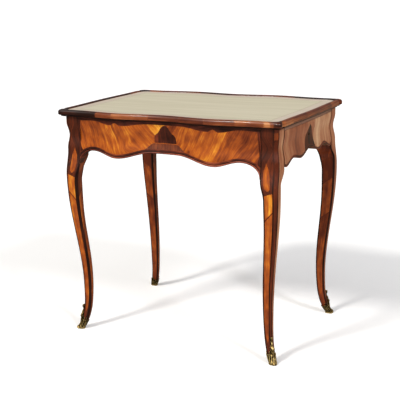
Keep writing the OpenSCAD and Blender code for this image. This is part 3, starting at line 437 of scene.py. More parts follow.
# Half of the rim's outer and inner outline, (u, w) from the mitre to the middle of a side: an ear,
# on the ends a notch of radius (half squared + depth squared) / (2 depth), and then the plan
def rimHalf(isEnd):
    over, width, plan = desk["overhang"], desk["rimWidth"], endPlan if isEnd else longPlan
    long, wide = desk["friezeX"] + over, desk["friezeY"] + over
    if isEnd:
        long, wide = wide, long
    ear = (long - rim["earRadius"], wide - rim["earRadius"])
    corner = (long - width - rim["innerRadius"], wide - width - rim["innerRadius"])
    outer, start = arc(*ear, rim["earRadius"], 45, 90, 13)[:-1], ear[0]
    if isEnd:
        half, depth = rim["notchLength"] / 2, rim["notchDepth"]
        radius = (half ** 2 + depth ** 2) / (2 * depth)
        swing = np.arcsin(half / radius)
        a = np.linspace(swing, -swing, 15)
        middle = ear[0] - rim["earFlat"] - half
        notch = np.stack([middle + radius * np.sin(a), wide - depth + radius - radius * np.cos(a)], -1)
        outer, start = np.r_[arc(*ear, rim["earRadius"], 45, 90, 12), notch[:-1]], notch[-1, 0]
    inner = arc(*corner, rim["innerRadius"], 45, 90, len(outer) + 1)[:-1]
    uOut, uIn = np.linspace(start, 0, rim["stations"]), np.linspace(corner[0], 0, rim["stations"])
    return (np.r_[outer, np.stack([uOut, plan(uOut) + over], -1)],
            np.r_[inner, np.stack([uIn, plan(uIn) + over - width], -1)])


def wholeSide(half):  # a half outline and its mirror image, from mitre to mitre
    return np.concatenate([half * [-1, 1], half[-2::-1]])


# Section of the moulding: a thumb over a small cavetto, and a bead against the leather
def rimSection():
    a = np.radians(np.linspace(0, 90, 9))
    deep, high = rim["thumb"]
    thumb = np.stack([deep - deep * np.cos(a), -high + high * np.sin(a)], -1)
    deep, high = rim["cavetto"]
    cavetto = np.stack([deep * (1 - np.sin(a)), rim["cavettoFoot"] + high * (1 - np.cos(a))], -1)
    return np.concatenate([rim["under"], cavetto[1:-1], rim["face"], thumb, rim["bead"]])


# Section carried along a side: outer (1 - t) + inner t, where t is the share of the rim's width
def rimPiece(side, isEnd, degrees):
    outer, inner = (wholeSide(half) for half in rimHalf(isEnd))
    section = rimSection()
    t = (section[:, 0] / desk["rimWidth"])[None, :, None]
    place = outer[:, None] * (1 - t) + inner[:, None] * t
    z = np.broadcast_to(desk["height"] + section[None, :, 1], place.shape[:2])
    rings = np.stack([place[..., 0], -place[..., 1], z], -1)
    # Tone of each length, some of them painted shade or a painted highlight
    tone = stepped(rim["endLengthTonesShadeAndHighlight" if isEnd else "longLengthTonesAndShade"], outer[:, 0])[:, None]
    # The left and back sides are darkened further: painted shade
    tone = tone + rim["shadedSides"].get(side, 0)
    run, girth = lengths(outer)[:, None] / 1000, lengths(section)[None] / 1000
    # The figure starts elsewhere on each side and jumps from one length to the next
    jumpU, jumpV = rim["grainJump"]
    uv = np.stack(np.broadcast_arrays(run + degrees / 57 + tone * jumpU, girth + tone * jumpV), -1)
    # The foot of the section is darkened: painted shade under the thumb
    shade = tone + rim["paintedUnderShade"] * (section[None, :, 1] < rim["underAt"])
    solid = ringSolid(turned(rings[:, ::-1], degrees), uv[:, ::-1])
    makePiece("rimMoulding" + side, solid, np.r_[shade[:, ::-1].ravel(), 0, 0], rimWood,
              ("carcass", "kingwood", "rim_" + side.lower()), sharp=50)


for side, (isEnd, degrees) in sides.items():
    rimPiece(side, isEnd, degrees)

leather = {"play": 0.05, "borderEnd": 44.0, "borderRings": 12, "fieldRings": [70, 110, 160, 200, 225]}


# Outline of the leather drawn in by d: arcs of radius (r - d) about fixed centres, then sides
# moved in by d. One ring for each d, from (halfX, -w) anticlockwise.
def leatherRing(d):
    radius = rim["innerRadius"]
    pull = max(0.0, d - radius)
    outline = []
    for isEnd, degrees in sides.values():
        inner = rimHalf(isEnd)[1]
        corner = inner[0] - radius * math.sqrt(0.5)
        normal = np.where(inner[:, :1] > corner[0], inner - corner, [0.0, radius])
        drawn = inner - normal * min(1.0, d / radius) - [0, pull]
        if pull:
            drawn[:, 0] = drawn[:, 0] * (corner[0] - pull) / corner[0]
        whole = wholeSide(drawn)[:-1]
        outline.append(turned(np.stack([whole[:, 0], -whole[:, 1], 0 * whole[:, 0]], -1), degrees))
    return np.concatenate(outline)


# Rings of the outline at growing insets, over a skirt as deep as the leather is thick
def leatherTop():
    insets = np.r_[np.linspace(leather["play"], leather["borderEnd"], leather["borderRings"]),
                   leather["fieldRings"]]
    top = np.stack([leatherRing(d) for d in insets])
    top[..., 2] = desk["height"] - desk["leatherSink"]
    rings = np.concatenate([top[:1] - [0, 0, desk["leatherThick"]], top])
    around = np.arange(rings.shape[1])[None] / 500
    uv = np.stack(np.broadcast_arrays(around, np.r_[0, insets][:, None] / 1000), -1)
    makePiece("leatherSkiver", ringSolid(rings, uv), 0.0, skiver,
              ("carcass", "leather", "leather_top"), sharp=40)


leatherTop()
print("top made")


# Frieze

# Places along a side (u) are counted from its middle. Drops are under the frieze's top, and those
# of leafTop under the top banding; bell and point give them at shares of their half width. The
# corner and the lean of a leaf's end and its middle are heights over the floor, and the banding's
# bead and tones lie at shares of its height.
frieze = {
    "banding": 13.0, "topBanding": 10.0, "endBanding": 9.0, "railHeight": 12.0, "bead": 1.3,
    "gap": 0.1, "clear": 0.05, "step": 0.02, "tipShort": 0.3, "coreBack": 1.6, "coreThick": 20.0,
    "leafEnd": 311.0, "leanFrom": 285.0, "stileFrom": 299.5, "middle": 660.0,
    "bellHalf": 38.0, "bellDrop": 66.0, "bellLine": 2.0, "footReach": 40.0, "pointReach": 43.0,
    "scallops": [(0, 99), (44, 99), (170, 122)], "archAt": 254.0, "archDrop": 105.0,
    "endScallops": [(0, 94), (72, 114), (122, 104)], "tongueDrop": 122.0, "tongueRound": 12.0,
    "leafTop": [(0, 0), (60, 0), (152, 9), (170, 1), (188, 9), (254, -0.5), (316, 2)],
    "leafCorner": [(299, 0), (300, 613.5), (303, 615), (307, 622), (311, 640)],
    "leafLean": [(606, 0), (640, 2.5), (668, 1), (705, -4)],
    "bell": [(0, 12), (0.12, 12.6), (0.27, 16), (0.39, 21), (0.49, 27.5), (0.59, 33), (0.71, 36.8),
             (0.84, 40), (0.94, 44.5), (0.985, 50), (1, 60)],
    "point": [(0, 22), (0.26, 32), (0.46, 44), (0.7, 61), (0.78, 74), (1, 98)],
    "beadMiddle": 0.16, "beadHalf": 0.17, "darkEnd": -215.0, "darkTone": -0.12,
    # the last, pale stop is a painted highlight along the banding's top edge
    "bandTonesAndHighlight": [(0, 0.06), (0.14, 0.24), (0.36, -0.28), (0.56, 0.06), (0.9, 0.2)],
}
bellBase = friezeTop - frieze["bellDrop"]


# Lower edge of a long side, moved up by off: eased scallops, then the quarter ellipse
# low + rise sqrt(1 - turn squared) down to the leg
def longBottom(u, off=0.0):
    a = np.abs(u)
    scallop = friezeTop - through([*frieze["scallops"], (frieze["archAt"], frieze["archDrop"])], a)
    turn = np.clip((a - frieze["archAt"]) / (postX - frieze["archAt"] + off), 0, 1)
    bracket = friezeLow + (desk["bracketDrop"] - frieze["archDrop"] + off) * np.sqrt(1 - turn ** 2)
    return np.where(a < frieze["archAt"], scallop + off, bracket)


def longBandTop(u):
    return longBottom(u, frieze["banding"])


def longLeafTop(u):  # eased, with a small cusp over each lobe
    stations = [(at, frieze["topBanding"] + drop) for at, drop in frieze["leafTop"]]
    return friezeTop - through(stations, np.abs(u))


def longLeafLow(u):  # the banding, or the cut corner beside the post
    return np.maximum(longBandTop(u), along(frieze["leafCorner"], np.abs(u)))


def bellTop(u):  # bell-shaped head of the cartouche
    stations = [(share * frieze["bellHalf"], drop) for share, drop in frieze["bell"]]
    return friezeTop - along(stations, np.abs(u))


def footTop(u):  # hollow skirt under the bell
    half, reach = frieze["bellHalf"], frieze["bellHalf"] + frieze["footReach"]
    return through([(half, bellBase - frieze["bellLine"]), (reach, longBandTop(reach))], np.abs(u))


def endBottom(u):  # eased scallops of the ends
    tongue = (postY - frieze["tongueRound"], frieze["tongueDrop"])
    return friezeTop - through([*frieze["endScallops"], tongue], np.abs(u))


def pointTop(u):  # pointed cartouche of the ends
    return friezeTop - along(frieze["point"], np.abs(u) / frieze["pointReach"])


# How far the end of a long side's leaf moves out at height z: in under the rim, out at the knee
def leafLean(u, z):
    a, end = np.abs(u), frieze["leafEnd"]
    fade = np.clip((a - frieze["leanFrom"]) / (end - frieze["leanFrom"]), 0, 1)
    fade = fade * np.clip((postX - a) / (postX - end), 0, 1)
    return np.sign(u) * fade * along(frieze["leafLean"], z)


# Point (u, t) of a panel: z = low + (high - low) t, y = -(plan(u) + arris(z) + proud(t) - back)
def panelGrid(plan, us, low, high, back, rows, proud, lean):
    t = np.linspace(0, 1, rows)[None, :]
    low, high = (np.broadcast_to(edge, us.shape)[:, None] for edge in (low, high))
    z = low * (1 - t) + high * t
    u = us[:, None] + (leafLean(us[:, None], z) if lean else 0 * z)
    relief = endArris(z) if plan is endPlan else frontArris(z)
    return np.stack([u, -(plan(u) + relief + proud(t) - back), z], -1)


# UV whose U runs along the grain, at an angle to the length of the panel, with a slow bend, or
# on curves z = rise(u) + constant, where the rise sums the tangents of the leans (u, degrees).
# Each knot (u, z, reach, lift) pushes the figure aside: across + lift exp(-(distance / reach)
# squared). The shift takes each piece to a stretch of the wood of its own.
def grainUv(grid, angle, bend=0.0, shift=0.0, knots=(), leans=None):
    a, middle = math.radians(angle), frieze["middle"] / 1000
    u, z = grid[..., 0] / 1000, grid[..., 2] / 1000 - middle
    run = u * math.cos(a) + z * math.sin(a)
    across = -u * math.sin(a) + z * math.cos(a)
    if leans:
        line = np.linspace(-0.4, 0.4, 801)
        rise = np.cumsum(np.tan(np.radians(along(leans, line * 1000)))) * 0.001
        across = (z - np.interp(u, line, rise)) * math.cos(a)
    for knotU, knotZ, reach, lift in knots:
        off = np.hypot(u - knotU / 1000, z - knotZ / 1000 + middle)
        across = across + lift / 1000 * mound(off, reach / 1000)
    return np.stack([run + shift, across + bend * run ** 2 + shift * 0.7], -1)


def flush(t):
    return 0 * t


def evenTone(u, z, t):
    return 0 * t


# A panel of veneer on the wall (plan, turn). A core lies behind the veneer, with edges of
# kingwood, and its back is flat at the distance given from the middle of the table.
def panelPiece(name, part, wall, us, low, high, material, angle, rows=28, tone=evenTone, proud=flush,
               lean=False, flat=None, **figure):
    plan, degrees = wall
    back = 0.0 if flat is None else frieze["coreBack"]
    front = panelGrid(plan, us, low, high, back, rows, proud, lean)
    rear = panelGrid(plan, us, low, high, back, rows, flush, lean) + [0, desk["veneer"], 0]
    edging = {}
    if flat is not None:
        rear[..., 1] = -flat
        edging = {"edgeMaterial": kingwoodDark, "edgeCount": 2 * (sum(front.shape[:2]) - 2)}
    points, quads, uv = slab(front, rear, grainUv(front, angle, **figure))
    t = np.broadcast_to(np.linspace(0, 1, rows)[None, :], front.shape[:2])
    shade = np.tile(tone(front[..., 0], front[..., 2], t).ravel(), 2)
    makePiece(name, (turned(points, degrees), quads, uv), shade, material, part, **edging)


# The two leaves of a long side. The wedge is (reach, slope, top, foot, tone) of the stretch beside
# the bell's shoulder, the end (start, reach, tone) darkens outwards, a spot is (u, z, reach,
# tone), and a band (u, z, slope, squeeze, streaks) leans across the leaf.
leafFigure = {
    "Left": {"angle": -60, "knots": [(-134, 636, 26, 17), (-262, 690, 20, -9), (-285, 650, 18, 7)],
             "leans": [(-316, -70), (-150, -71), (-112, -52), (0, -44)],
             "wedge": (58, 0.8, 706, 672, 0.33), "end": (205, 60, -0.07), "spot": (-252, 692, 22, -0.1),
             "bands": [(-170, 655, -0.39, 1, [(0, 2.6, 0.24), (8, 3.2, -0.14), (-15, 2.2, 0.14),
                                              (-28, 2.2, 0.12), (24, 5, -0.12)]),
                       (-125, 655, 0, 1, [(0, 26, 0.05)])]},
    "Right": {"angle": 52, "knots": [(272, 676, 24, 7), (60, 655, 20, 6)],
              "leans": [(0, 58), (190, 63), (316, 52)],
              "wedge": (42, 0.8, 706, 672, -0.2), "end": (214, 60, -0.2), "spot": (84, 634, 4, -0.3),
              "bands": [(178, 657, 0.5, 0.89, [(0, 15, 0.16), (34, 17, -0.14)])]},
}


def leafTone(figure):  # the sum of a leaf's wedge, end, spot and bands
    def tone(u, z, t):
        a = np.abs(u)
        wide, slope, top, foot, wedgeTone = figure["wedge"]
        start, endReach, endTone = figure["end"]
        spotU, spotZ, reach, spotTone = figure["spot"]
        total = wedgeTone * ((a < wide - (top - z) * slope) & (z > foot))
        total = total + endTone * ease(np.clip((a - start) / endReach, 0, 1))
        total = total + spotTone * mound(np.hypot(u - spotU, z - spotZ), reach)
        for bandU, bandZ, lean, squeeze, marks in figure["bands"]:
            total = total + streaks((u - bandU - (z - bandZ) * lean) * squeeze, marks)
        return total
    return tone


# A banding: the reddish bead on the edge, a black line over it, then brown up to a pale line
# along the top edge, which is a painted highlight
def bandTone(u, z, t):
    return stepped(frieze["bandTonesAndHighlight"], t) + frieze["darkTone"] * (u < frieze["darkEnd"])


def beadProfile(t):  # quarter-round bead on the lowest third, bead sqrt(1 - x squared)
    x = (t - frieze["beadMiddle"]) / frieze["beadHalf"]
    return frieze["bead"] * np.sqrt(np.clip(1 - x ** 2, 0, 1))


# A long side: its core, then two leaves with the stiles that frame their ends, two bandings, and
# the cartouche of a bell, the pale line under it and its foot
def longSide(side, degrees, seed):
    node, wall = side.lower(), (longPlan, degrees)
    gap, clear, half, leafEnd = (frieze[key] for key in ("gap", "clear", "bellHalf", "leafEnd"))
    reach = half + frieze["footReach"]
    banding, cartouche = (("carcass", "kingwood", node + tail) for tail in ("_banding", "_cartouche"))
    u = np.linspace(-postX, postX, 240)
    panelPiece("friezeCore" + side, ("carcass", "oak", "apron_" + node), wall, u, longBottom(u), friezeTop,
               oakAlongX, 0, flat=desk["friezeY"] - frieze["coreThick"])
    for word, hand in (("Left", -1), ("Right", 1)):
        figure = leafFigure[word]
        u = np.r_[np.linspace(gap / 2, half, 40), np.linspace(half + frieze["step"], leafEnd, 170)]
        u = (u * hand)[::hand]
        low = np.where(np.abs(u) < reach, footTop(u), longLeafLow(u))
        low = np.where(np.abs(u) <= half, bellTop(u), low) + gap
        panelPiece("tulipLeaf" + side + word, ("carcass", "tulipwood", node + "_leaves"), wall, u, low,
                   longLeafTop(u), tulipwood, figure["angle"], rows=44, tone=leafTone(figure), lean=True,
                   shift=seed + hand * 0.37, knots=figure["knots"], leans=figure["leans"])
        u = np.r_[np.linspace(frieze["stileFrom"], leafEnd + gap / 2, 24),
                  np.linspace(leafEnd + gap, postX - clear, 5)]
        u = (u * hand)[::hand]
        high = np.where(np.abs(u) > leafEnd + gap * 0.7, longLeafTop(u), longLeafLow(u) - gap)
        panelPiece("leafStile" + side + word, banding, wall, u, longBandTop(u),
                   np.maximum(high, longBandTop(u) + clear), kingwoodDark, 90, rows=24, lean=True,
                   shift=seed + 0.9 + hand * 0.2)
    u = np.linspace(-postX + clear, postX - clear, 240)
    panelPiece("lowerBanding" + side, banding, wall, u, longBottom(u), longBandTop(u) - gap, kingwoodDark, 0,
               rows=18, tone=bandTone, proud=beadProfile, shift=seed)
    panelPiece("upperBanding" + side, banding, wall, u, longLeafTop(u) + gap, friezeTop - clear,
               kingwoodDark, 0, rows=8, shift=seed + 0.3)
    u = np.linspace(-half + gap, half - gap, 60)
    lineLow = bellBase - frieze["bellLine"]
    panelPiece("bell" + side, cartouche, wall, u, bellBase, bellTop(u) - gap, kingwoodDark, 90,
               shift=seed + 0.5)
    panelPiece("bellLine" + side, cartouche, wall, u, lineLow + gap, bellBase - gap, tulipwood, 0, rows=3,
               shift=seed + 0.2)
    u = np.linspace(-reach + frieze["tipShort"], reach - frieze["tipShort"], 90)
    top = np.where(np.abs(u) < half, lineLow, footTop(u)) - gap
    panelPiece("bellFoot" + side, cartouche, wall, u, longBandTop(u), np.maximum(top, longBandTop(u) + clear),
               walnutVeneer, 90, rows=12, shift=seed + 0.8)


longSide("Front", 0, 0.0)
longSide("Back", 180, 1.7)


def nearTone(u, z, t):  # darker middle, with a black line down the outer edge
    return streaks(u, [(-95, 40, -0.12), (-170, 16, 0.06)]) - 0.5 * (u < -185.5)


# Lighter all over than the near leaf, as a painted sheen, with a light and a dark streak
def farToneAndSheen(u, z, t):
    return 0.18 + streaks(u, [(60, 18, 0.1), (100, 10, -0.12)])


def pointTone(u, z, t):  # nearly black heart
    return -0.06 + streaks(u, [(0, 7, -0.25)])


# An end: two leaves, the lower banding and the pointed cartouche. The drawer front is a tongue,
# with its lower corners rounded by round (1 - sqrt(1 - turn squared)).
def endSide(side, degrees, half, top, body, node, seed, tongue):
    wall, gap, clear, reach = (endPlan, degrees), frieze["gap"], frieze["clear"], frieze["pointReach"]

    def low(u):
        rounding = frieze["tongueRound"]
        turn = np.clip((np.abs(u) - half + rounding) / rounding, 0, 1) if tongue else 0 * u
        return endBottom(u) + rounding * (1 - np.sqrt(1 - turn ** 2))

    for word, hand, tone in (("Near", -1, nearTone), ("Far", 1, farToneAndSheen)):
        u = (np.linspace(gap / 2, half - clear, 150) * hand)[::hand]
        start = np.maximum(np.where(np.abs(u) < reach, pointTop(u), 0), low(u) + frieze["endBanding"]) + gap
        panelPiece("tulipLeaf" + side + word, (body, "tulipwood", node + "_leaves"), wall, u, start, top,
                   tulipwoodFaded, 84 * hand, tone=tone, bend=0.6 * hand, shift=seed + hand * 0.41)
    u = np.linspace(-half + clear, half - clear, 200)
    panelPiece("lowerBanding" + side, (body, "kingwood", node + "_banding"), wall, u, low(u),
               low(u) + frieze["endBanding"] - gap, kingwoodDark, 0, rows=12, tone=bandTone, shift=seed)
    u = np.linspace(-reach + frieze["tipShort"], reach - frieze["tipShort"], 80)
    start = endBottom(u) + frieze["endBanding"]
    panelPiece("pointedCartouche" + side, (body, "walnut_veneer", node + "_cartouche"), wall, u, start,
               np.maximum(pointTop(u) - gap, start + clear), kingwood, 90, tone=pointTone, shift=seed + 0.6)


railLow = friezeTop - frieze["railHeight"]
endSide("Drawer", 90, postY - 1, railLow - 1, "drawer", "drawer", 3.1, tongue=True)
endSide("LeftEnd", -90, postY, railLow - frieze["gap"], "carcass", "left", 4.3, tongue=False)
leftWall, us = (endPlan, -90), np.linspace(-postY, postY, 160)
panelPiece("friezeCoreLeftEnd", ("carcass", "oak", "apron_left"), leftWall, us, endBottom(us), friezeTop,
           oakAlongY, 0, flat=desk["friezeX"] - frieze["coreThick"])
us = us * 0.999  # just clear of the posts
panelPiece("upperBandingLeftEnd", ("carcass", "kingwood", "left_banding"), leftWall, us, railLow,
           friezeTop - frieze["clear"], kingwoodDark, 0, rows=6, shift=2.2)
print("frieze made")


# Legs

# The inner faces lie at innerX and innerY, (height, place). The corner between the front and the
# inner side is cut off by sideCut, and the two at the back by backCut. The cant narrows to
# cantShare of its width at the ankle. The faces' tones paint light and shade by the way each faces:
# the sides, the back and the cant lighter than the front, and the arrises and the small cut faces
# darker, as painted shade. These tones fade out up the post.
leg = {
    "cant": 11.5, "cantShare": 0.48, "innerToe": 14.0, "instep": 180.0, "flickX": 10.5, "flickY": 8.0,
    "flickHigh": 95.0, "heel": 4.0, "heelHigh": 45.0, "softness": 1.3, "softShare": 0.3,
    "faceShares": (0.07, 0.36, 0.64, 0.93), "fadeFrom": 560.0, "fadeHigh": 60.0, "fade": 0.6,
    "innerX": [(180, 312), (460, 326), (505, 326), (568, postX)],
    "innerY": [(180, 206.5), (430, 218), (550, 218), (593.2, postY)],
    "sideCut": [(140, 5), (525, 6.5), (568, 1.5)], "backCut": [(140, 2.5), (525, 3.5), (568, 1.5)],
    # Tones of the faces, painted light and shade by facing, and the arrises' painted shade
    "tones": {"front": 0.0, "innerSide": 0.18, "innerBack": 0.16, "outerSide": 0.1, "cant": 0.06},
    "paintedArrisShade": -0.26,
}
corners = {"front_right": (1, 1), "front_left": (-1, 1), "back_right": (1, -1), "back_left": (-1, -1)}


# Eight corners of a leg at height z, for the leg in the corner (+x, -y): x and y are its outer
# faces, a and b its inner ones, and each corner is cut off at k, f or e
def legCorners(z):
    flick = toe(z, leg["flickHigh"])
    inwards = leg["innerToe"] * toe(z, leg["instep"]) + leg["heel"] * toe(z, leg["heelHigh"])
    x = desk["friezeX"] + endArris(z) + leg["flickX"] * flick
    y = desk["friezeY"] + frontArris(z) + leg["flickY"] * flick
    a = inwards + leg["flickX"] * flick + through(leg["innerX"], z)
    b = inwards + leg["flickY"] * flick + through(leg["innerY"], z)
    k = along([(desk["ankle"], leg["cant"] * leg["cantShare"]), (desk["knee"], leg["cant"])], z)
    f, e = along(leg["sideCut"], z), along(leg["backCut"], z)
    points = [(x - k, -y), (a + f, -y), (a, -y + f), (a, -b - e),
              (a + e, -b), (x - e, -b), (x, -b - e), (x, -y + k)]
    return np.stack([np.stack(point, -1) for point in points], 1)


# Each corner softened: three points on a small curve through it, then four shares of the face
def softRing(points, soft):
    ends = []
    for neighbour in (1, -1):
        way = np.roll(points, neighbour, 1) - points
        length = np.linalg.norm(way, axis=2)[..., None]
        ends.append(points + way * (np.minimum(soft, length * leg["softShare"]) / length))
    start, end = ends
    middle = (start + end) / 4 + points / 2
    nextStart = np.roll(start, -1, 1)
    shares = [end + (nextStart - end) * share for share in leg["faceShares"]]
    return np.stack([start, middle, end, *shares], 2).reshape(len(points), -1, 2)


# A piece worked out for the front right corner and mirrored to its own, with its faces turned
# back outwards where one mirror alone turns them in
def cornerPiece(name, corner, solid, shade, material, slotName, node, sharp=35):
    points, quads, uv = solid
    mx, my = corners[corner]
    quads = quads if mx * my > 0 else quads[:, ::-1]
    makePiece(name + corner.title().replace("_", ""), (points * [mx, my, 1], quads, uv), shade, material,
              ("carcass", slotName, node), sharp)


# Softened rings of the leg's corners, one for each height
def legPiece(corner):
    mx, my = corners[corner]
    z = np.linspace(desk["foot"], friezeTop, 170)
    ring = softRing(legCorners(z), leg["softness"])[:, ::-1]
    rings = np.concatenate([ring, np.broadcast_to(z[:, None, None], ring.shape[:2] + (1,))], -1)
    girth = np.cumsum(np.linalg.norm(ring - np.roll(ring, 1, 1), axis=2), axis=1)
    uv = np.stack([np.broadcast_to(z[:, None], girth.shape) / 1000 + mx * 0.9 + my * 1.7, girth / 1000], -1)
    # Painted light and shade: a tone for each face by the way it faces, dark arrises and cut faces
    tones, dark = leg["tones"], leg["paintedArrisShade"]
    faces = [tones["front"], dark, tones["innerSide"], dark, tones["innerBack"], dark, tones["outerSide"],
             tones["cant"]]
    tone = np.array([[dark] * 3 + [face] * 4 for face in faces]).ravel()[::-1]
    upper = ease(np.clip((z - leg["fadeFrom"]) / leg["fadeHigh"], 0, 1))[:, None]
    shade = tone[None] * (1 - leg["fade"] * upper)
    cornerPiece("leg", corner, ringSolid(rings, uv), np.r_[shade.ravel(), 0, 0], kingwood, "kingwood",
                "leg_" + corner, sharp=28)


# Reserves let into the legs. An edge is (height, share of the face's width), the ogee (height,
# share of the reserve's width) and a joint (height, lean) the dark line where the next length of
# veneer starts. What stands on the cant is (foot, head, margin, tone). Reserves darken by low
# (height, reach, tone) towards the floor. Those of the inner faces are darkened all over as
# painted shade, which lightens again towards the floor.
reserve = {
    "proud": 0.22, "sunk": 0.6, "columns": 13, "foot": 62.0, "jointHalf": 2.2, "jointTone": -0.6,
    "low": (360, 160, -0.12), "innerShadeFade": (330, 120, 0.28), "innerPaintedShade": -0.3, "frontTone": 0.02,
    "upperTone": -0.02, "stripTone": -0.02, "bleachedAndSheenTone": 0.08, "marginRise": 1.4, "widestMargin": 0.47,
    "upperNear": [(538, 0.22), (572, 0.2), (620, 0.25)], "upperFar": [(538, 0.78), (572, 0.71), (620, 0.56)],
    "ogee": [(538, 0.3), (546, 0.86), (562, 0.97), (594, 1.0), (604, 0.66), (611, 0.3), (620, 0.02)],
    "lowerNear": [(62, 0.46), (84, 0.2), (110, 0.1), (300, 0.05), (528, 0.06)],
    "lowerFar": [(62, 0.54), (84, 0.8), (110, 0.87), (300, 0.9), (528, 0.93)],
    "frontSlant": 9.0, "frontJoints": [(462, 26)],
    "innerHead": 546.0, "innerSlant": -20.0, "innerJoints": [(472, -26), (352, -22)],
    "sideStrip": [(62, 0.46), (84, 0.2), (110, 0.12), (300, 0.08), (713, 0.06)], "sideSlant": 2.0,
    "onCant": {"cantBlock": (686, 707, 0.1, -0.2), "cantStrip": (548, 680, 0.28, -0.44)},
}
# Corners of the leg between which each face lies, and the way that it looks
legFaces = {"Front": (1, 0, (0, -1)), "InnerSide": (3, 2, (-1, 0)), "InnerBack": (5, 4, (0, 1)),
            "Outer": (7, 6, (1, 0)), "Cant": (7, 0, (1, -1))}


def towardsFloor(z, low):  # tone (from - z) / reach, from a height down
    height, reach, tone = low
    return tone * np.clip((height - z) / reach, 0, 1)


# A reserve on one face, between the shares near(z) and far(z) of its width. Its head leans by
# slant across the face, and tone is one number, or one for each height.
def inlay(name, corner, face, heights, near, far, seed, tone, slant=0.0, joints=(), material=tulipwood):
    p, q, normal = legFaces[face]
    s = np.linspace(0, 1, reserve["columns"])[None, :]
    up = ((heights - heights[0]) / (heights[-1] - heights[0]))[:, None]
    z = heights[:, None] + slant * (s - 0.5) * (up > 0.9) * (up - 0.9) * 10
    c = legCorners(z.ravel()).reshape(z.shape + (8, 2))
    share = (near[:, None] * (1 - s) + far[:, None] * s)[..., None]
    flat = c[:, :, p] * (1 - share) + c[:, :, q] * share
    surface = np.concatenate([flat, z[..., None]], -1)
    outward = np.array([*normal, 0.0]) / math.hypot(*normal)
    shade, part = 0 * z + tone, 0 * z
    for height, lean in joints:
        off = z - height - lean * (s - 0.5)
        part = part + (off > 0)
        shade = shade + reserve["jointTone"] * (np.abs(off) < reserve["jointHalf"])
    shade = shade + 0.16 * np.sin(part * 2.4) + towardsFloor(z, reserve["low"])
    across = np.linalg.norm(flat - flat[:, :1], axis=2) / 1000
    uv = np.stack([z / 1000 + seed + part * 0.31, across + part * 0.17 + 0.25 * across * part], -1)
    solid = slab(surface + outward * reserve["proud"], surface - outward * reserve["sunk"], uv)
    cornerPiece(name, corner, solid, np.tile(shade.ravel(), 2), material, "tulipwood", "reserves_" + corner)


# Upper reserve: an ogee point over a rounded foot. Lower reserve: a long strip with a slanted
# head. Outer side: one strip, palest on the front right leg, where the lighter tone is partly
# bleached wood and partly a painted sheen. On the cant of the post, a small block over a narrow strip.
def legInlays(corner):
    mx, my = corners[corner]
    seeds = {face: k * 0.31 + mx * 0.13 + my * 0.57 for k, face in enumerate(legFaces)}
    z = np.linspace(reserve["ogee"][0][0], reserve["ogee"][-1][0], 60)
    near, far = along(reserve["upperNear"], z), along(reserve["upperFar"], z)
    middle, half = (near + far) / 2, (far - near) / 2 * through(reserve["ogee"], z)
    inlay("upperReserveFront", corner, "Front", z, middle - half, middle + half, seeds["Front"],
          reserve["upperTone"])
    z = np.linspace(reserve["foot"], reserve["lowerNear"][-1][0], 210)
    near, far = along(reserve["lowerNear"], z), along(reserve["lowerFar"], z)
    inlay("lowerReserveFront", corner, "Front", z, near, far, seeds["Front"] + 0.2,
          reserve["frontTone"], reserve["frontSlant"], reserve["frontJoints"])
    z = np.linspace(reserve["foot"], reserve["innerHead"], 210)
    margin = np.minimum(along(reserve["lowerNear"], z) * reserve["marginRise"], reserve["widestMargin"])
    # Painted shade on the inner faces' reserves, lightening towards the floor
    tone = reserve["innerPaintedShade"] + towardsFloor(z[:, None], reserve["innerShadeFade"])
    for face in ("InnerSide", "InnerBack"):
        inlay("lowerReserve" + face, corner, face, z, margin, 1 - margin, seeds[face] + 0.2, tone,
              reserve["innerSlant"], reserve["innerJoints"])
    z = np.linspace(reserve["foot"], reserve["sideStrip"][-1][0], 300)
    margin = along(reserve["sideStrip"], z)
    # The front right strip is lighter: bleached wood with a painted sheen
    tone = reserve["bleachedAndSheenTone" if corner == "front_right" else "stripTone"]
    inlay("sideStrip", corner, "Outer", z, margin, 1 - margin, seeds["Outer"] + 0.2, tone,
          reserve["sideSlant"], material=tulipwoodFaded)
    for name, (low, high, margin, tone) in reserve["onCant"].items():
        z = np.linspace(low, high, 40)
        inlay(name, corner, "Cant", z, 0 * z + margin, 0 * z + (1 - margin), mx * 0.4, tone)


for corner in corners:
    legPiece(corner)
    legInlays(corner)
print("legs made")


# Shoes

# The edge is the height at a share of the way round from the outer arris: a lobed leaf, then the
# cup, with a small tip at the inner corner. A boss is (share, its reach, height, its reach): the
# two lobes of the toe, the curled tip of the leaf, the bulge under it and the dark cleft between
# the lobes.
shoe = {
    "sides": 120, "rows": 60, "play": 0.35, "wall": 1.9, "toe": 7.0, "flute": 1.3, "flutes": 13, "veins": 34,
    "cupTop": 32.0, "leafReach": 0.13, "bead": 1.0, "beadWidth": 2.0, "midrib": 1.4, "midribReach": 0.009,
    "curl": 4.0, "bulge": 5.0, "fluteLean": 34.0, "veinLean": 15.0, "vein": 0.8, "leafFoot": 30.0,
    "midribFoot": 18.0, "fadeIn": 8.0, "cupEase": 5.0, "lap": 0.4,
    "lobeBoss": (0.045, 0.03, 6.5, 7), "tipBoss": (0, 0.04, 80, 8), "bulgeBoss": (0, 0.07, 47, 15),
    "cleftBoss": (0, 0.014, 7, 7),
    "edge": [(0, 84), (0.018, 82), (0.036, 67), (0.046, 60), (0.058, 63), (0.074, 53), (0.084, 45),
             (0.1, 47), (0.118, 41), (0.135, 33), (0.17, 31), (0.24, 31), (0.27, 40), (0.3, 31), (0.4, 29),
             (0.5, 27)],
}
pin = {"high": 15.0, "head": 1.6, "shank": 1.0, "dome": 0.9, "length": 10.0, "sides": 16}


